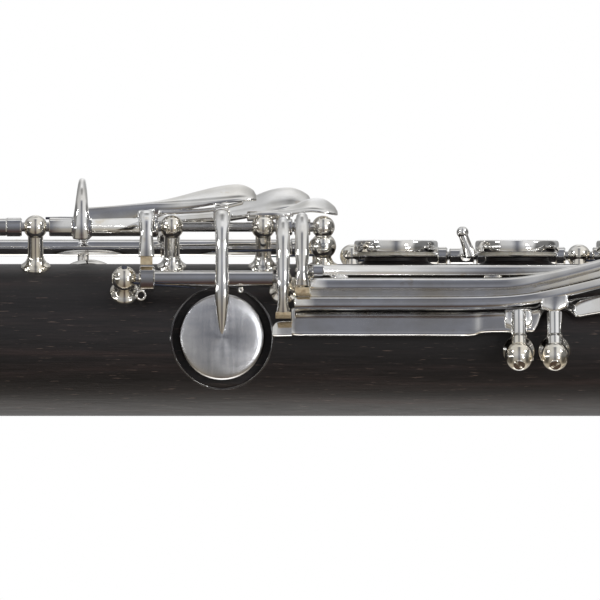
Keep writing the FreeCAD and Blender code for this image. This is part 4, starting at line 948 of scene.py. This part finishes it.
lever_1 = Shape()
turned_tube(lever_1, 693.0, 784.9, ROD_R1, 1.6, [(693.0, 696.0, 1.95), (781.9, 784.9, 1.95)])
bar(lever_1, [
    (692.8, 13.9, 19.6, 3.4, 2.0, -36), (715.0, 13.9, 19.6, 3.4, 2.0, -36),
    (735.0, 13.9, 19.6, 3.4, 2.0, -36), (744.0, 14.2, 19.6, 3.3, 2.0, -36),
    (752.0, 15.6, 19.6, 3.1, 2.0, -38), (765.0, 18.8, 18.9, 3.0, 1.9, -40),
    (778.0, 22.8, 17.6, 3.0, 1.8, -40), (786.0, 25.2, 16.6, 7.6, 1.9, -40),
    (794.0, 26.6, 15.9, 9.4, 1.8, -40), (800.6, 27.3, 15.2, 7.2, 1.5, -40),
    (803.0, 27.4, 15.0, 3.8, 1.1, -40)], 2.9, 5, 0.4)
arm(lever_1, [(16.8, 17.1, 2.8, 4.0), (19.0, 13.6, 2.2, 3.6), (19.6, 8.0, 1.8, 3.0)], 778.0)
for z in (700.0, 738.0):
    arm(lever_1, [(16.4, 16.6, 1.2, 4.8), (17.2, 15.2, 1.2, 4.6), (18.8, 14.2, 1.2, 4.4)], z, 2.6, 4)
cup(lever_1, 778.0, 68.0, 8.0)
key_piece(lever_1, "lever_1_bar_and_cup", "left_lever_1", "lever_1")

# ---- finger plates ----
PLATE_R = 10.5
PLATE_TOP = 25.0
PLATE_RIM = 3.2


def finger_plate(z, tube_z):
    """Covered plate: a thick polished rim round a shallow dish, on an arm from the far hinge."""
    shape = Shape()
    low = PLATE_TOP - PLATE_RIM
    dish = [(low + 0.9, 0.0), (low + 0.9, PLATE_R - 0.9), (low + 0.15, PLATE_R - 0.75),
            (low, PLATE_R - 0.5), (low + 0.15, PLATE_R - 0.15), (low + 0.45, PLATE_R), (low + 1.6, PLATE_R),
            (PLATE_TOP - 0.7, PLATE_R - 0.02), (PLATE_TOP - 0.25, PLATE_R - 0.25),
            (PLATE_TOP, PLATE_R - 0.75), (PLATE_TOP - 0.05, PLATE_R - 1.3),
            (PLATE_TOP - 0.45, PLATE_R - 2.0), (PLATE_TOP - 0.95, PLATE_R - 3.2),
            (PLATE_TOP - 1.25, PLATE_R - 5.6), (PLATE_TOP - 1.3, 0.0)]
    lathe(shape, dish, at(z, 0, 0), outward(0.0), 96)
    arm(shape, [(ROD_D[1], ROD_D[0], 3.4, 7.0), (-13.0, 23.2, 2.3, 6.6), (-8.8, 23.3, 1.6, 6.0)], z)
    start, end = tube_z
    turned_tube(shape, start, end, ROD_D, 2.0, [(start, start + 2.6, 2.35), (end - 2.6, end, 2.35)])
    return shape


# Ends of each plate's hinge tube.
PLATE_TUBES = {"right_plate_1": (763.4, 784.1), "right_plate_2": (734.2, 756.6),
               "right_plate_3": (706.4, 727.0), "left_plate_1": (958.6, 981.4),
               "left_plate_2": (926.6, 950.4), "left_plate_3": (895.8, 918.4)}
for node, tube_z in PLATE_TUBES.items():
    low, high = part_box(node + "_pad")
    z = ((low + high) / 2 / MM).z
    key_piece(finger_plate(z, tube_z), node + "_dish", node + "_body", node)

sliver = Shape()
turned_tube(sliver, 727.5, 733.7, ROD_D, 2.0)
arm(sliver, [
    (ROD_D[1], ROD_D[0], 3.4, 3.4), (-9.0, 22.4, 2.0, 3.2), (0.0, 21.2, 1.6, 3.2),
    (4.0, 21.2, 1.6, 3.0)], 731.6, drift=0.6)
stem_foot = at(732.6, 21.0, 3.6)
stem = at(730.7, 26.3, 3.6) - stem_foot
lathe(sliver, [(0.0, 1.75), (1.2, 1.5), (2.8, 1.25), (stem.length, 1.15), (stem.length, 0.0)],
      stem_foot, stem, 28)
ball(sliver, at(730.6, 26.9, 3.6), 1.5)
key_piece(sliver, "sliver_key_touch", "sliver", "sliver_key")

# ---- floor, lights, world and camera ----
FLOOR_REACH = 9.0


def pale_floor():
    """Plain floor. It is left out of reflections, where its far edge would be a hard line."""
    bpy.ops.mesh.primitive_plane_add(size=2 * FLOOR_REACH, location=(0, 0, 0))
    floor = bpy.context.object
    floor.name = "studio_floor"
    made, tree, shader = new_material("pale_floor")
    tone = noise(tree, stretched(tree, (3, 3, 3)), 1.0, 3.0)
    tree.links.new(ramp(tree, tone, [(0.3, grey(0.80)), (0.7, grey(0.84))]), shader.inputs["Base Color"])
    shader.inputs["Roughness"].default_value = 0.7
    floor.data.materials.append(made)
    floor.visible_glossy = False


pale_floor()


def softbox(name, place, target, size, watts, colour=(1, 1, 1)):
    """Rectangular light at a place, facing a target; its size is (width, height)."""
    data = bpy.data.lights.new(name, "AREA")
    data.shape = "RECTANGLE"
    data.size, data.size_y = size
    data.energy = watts
    data.color = colour
    made = bpy.data.objects.new(name, data)
    bpy.context.scene.collection.objects.link(made)
    made.location = place
    made.rotation_mode = "QUATERNION"
    made.rotation_quaternion = (Vector(target) - Vector(place)).to_track_quat("-Z", "Y")


# Height in metres of the middle of the picture, and the point of the body's axis that the lights face.
VIEW_Z = 0.690
MIDDLE = (0.0, -AXIS_FRONT * MM, VIEW_Z)
softbox("key_above_left", (0.5, -0.8, VIEW_Z - 0.95), MIDDLE, (0.16, 0.16), 3.0)
softbox("key_above_right", (0.5, -0.8, VIEW_Z + 0.95), MIDDLE, (0.16, 0.16), 3.0)
softbox("fill_below", (-0.49, 1.04, VIEW_Z), MIDDLE, (0.9, 0.9), 2.6, (1.0, 0.97, 0.94))
softbox("cup_light", (1.15, 0.15, VIEW_Z + 0.75), MIDDLE, (0.14, 0.26), 1.6)
softbox("strip_left", (0.6, -0.05, VIEW_Z - 1.4), MIDDLE, (0.12, 1.2), 2.2)
softbox("small_by_camera", (1.25, -0.35, VIEW_Z + 0.7), MIDDLE, (0.16, 0.16), 1.5)

# The studio as the metal reflects it: bright and dark panels by the angle round the body, and others
# towards its two ends. The camera itself sees plain white.
world = bpy.data.worlds.new("studio")
bpy.context.scene.world = world
world.use_nodes = True
sky = world.node_tree
background = sky.nodes["Background"]
direction = add_node(sky, "ShaderNodeTexCoord").outputs["Generated"]
split = add_node(sky, "ShaderNodeSeparateXYZ", links={0: direction})
turned = add_node(sky, "ShaderNodeMath", {"operation": "ARCTAN2"},
                  {0: split.outputs["Y"], 1: split.outputs["X"]})
share = ranged(sky, turned.outputs[0], -math.pi, math.pi, 0.0, 1.0)


def round_body(stops):
    """Colours by the angle round the body: 0 is towards +X, -90 towards the front."""
    return ramp(sky, share, [((degrees + 180.0) / 360.0, colour) for degrees, colour in stops])


panels = round_body([
    (-180, grey(1.0)), (-125, grey(1.0)), (-118, grey(0.25)), (-106, grey(0.45)), (-100, grey(0.95)),
    (-88, grey(0.95)), (-80, (0.20, 0.21, 0.25)), (-66, (0.16, 0.165, 0.19)), (-45, (0.22, 0.225, 0.25)),
    (-20, (0.24, 0.25, 0.29)), (0, (0.20, 0.205, 0.23)), (20, (0.14, 0.14, 0.15)),
    (45, (0.09, 0.065, 0.065)), (70, (0.07, 0.045, 0.04)), (88, (0.12, 0.09, 0.06)),
    (97, (0.60, 0.50, 0.36)), (106, grey(1.0)), (180, grey(1.0))])
dapple = ramp(sky, noise(sky, direction, 2.2, 3.0, 0.5), [(0.35, grey(0.72)), (0.65, grey(1.0))])
sides = mixed(sky, 1.0, panels, dapple, "MULTIPLY")
end_panels = round_body([
    (-180, grey(0.30)), (-140, grey(0.45)), (-110, grey(0.8)), (-60, grey(0.8)), (-15, grey(0.75)),
    (5, grey(0.5)), (25, (0.46, 0.43, 0.38)), (75, (0.32, 0.28, 0.22)), (115, (0.62, 0.55, 0.45)),
    (180, grey(0.30))])
upright = ranged(sky, split.outputs["Z"], -1.0, 1.0, 0.0, 1.0)
strength = ramp(sky, upright, [
    (0.0, grey(0.22)), (0.10, grey(0.25)), (0.16, grey(0.75)), (0.36, grey(0.75)), (0.64, grey(1.0)),
    (0.84, grey(1.0)), (0.90, grey(0.25)), (1.0, grey(0.22))])
ends = mixed(sky, 1.0, end_panels, strength, "MULTIPLY")
along = add_node(sky, "ShaderNodeMath", {"operation": "ABSOLUTE"}, {0: split.outputs["Z"]}).outputs[0]
towards_ends = ramp(sky, along, [(0.03, grey(0.0)), (0.28, grey(1.0))])
reflected = mixed(sky, towards_ends, sides, ends)
seen = add_node(sky, "ShaderNodeLightPath").outputs["Is Camera Ray"]
sky.links.new(mixed(sky, seen, reflected, grey(1.0)), background.inputs["Color"])

# The camera looks at the left side, with the mouthpiece end to the right. Lengths are in metres, except
# the sensor's millimetres and the place of the picture's middle in front of the body's axis.
SENSOR = 36.0
WINDOW = 0.150
CAMERA_REACH = 4.0
WINDOW_FRONT = 10.0
camera_data = bpy.data.cameras.new("camera")
camera_data.sensor_width = SENSOR
camera_data.lens = SENSOR * CAMERA_REACH / WINDOW
camera_data.clip_start, camera_data.clip_end = 0.05, 50.0
camera = bpy.data.objects.new("camera", camera_data)
bpy.context.scene.collection.objects.link(camera)
right, up, back = ALONG, Vector((0, -1, 0)), Vector((1, 0, 0))
centre = at(VIEW_Z / MM, WINDOW_FRONT, 0.0) * MM
place = centre + back * CAMERA_REACH
camera.matrix_world = Matrix.Translation(place) @ Matrix((right, up, back)).transposed().to_4x4()
bpy.context.scene.camera = camera
bpy.context.scene.view_settings.view_transform = "Standard"
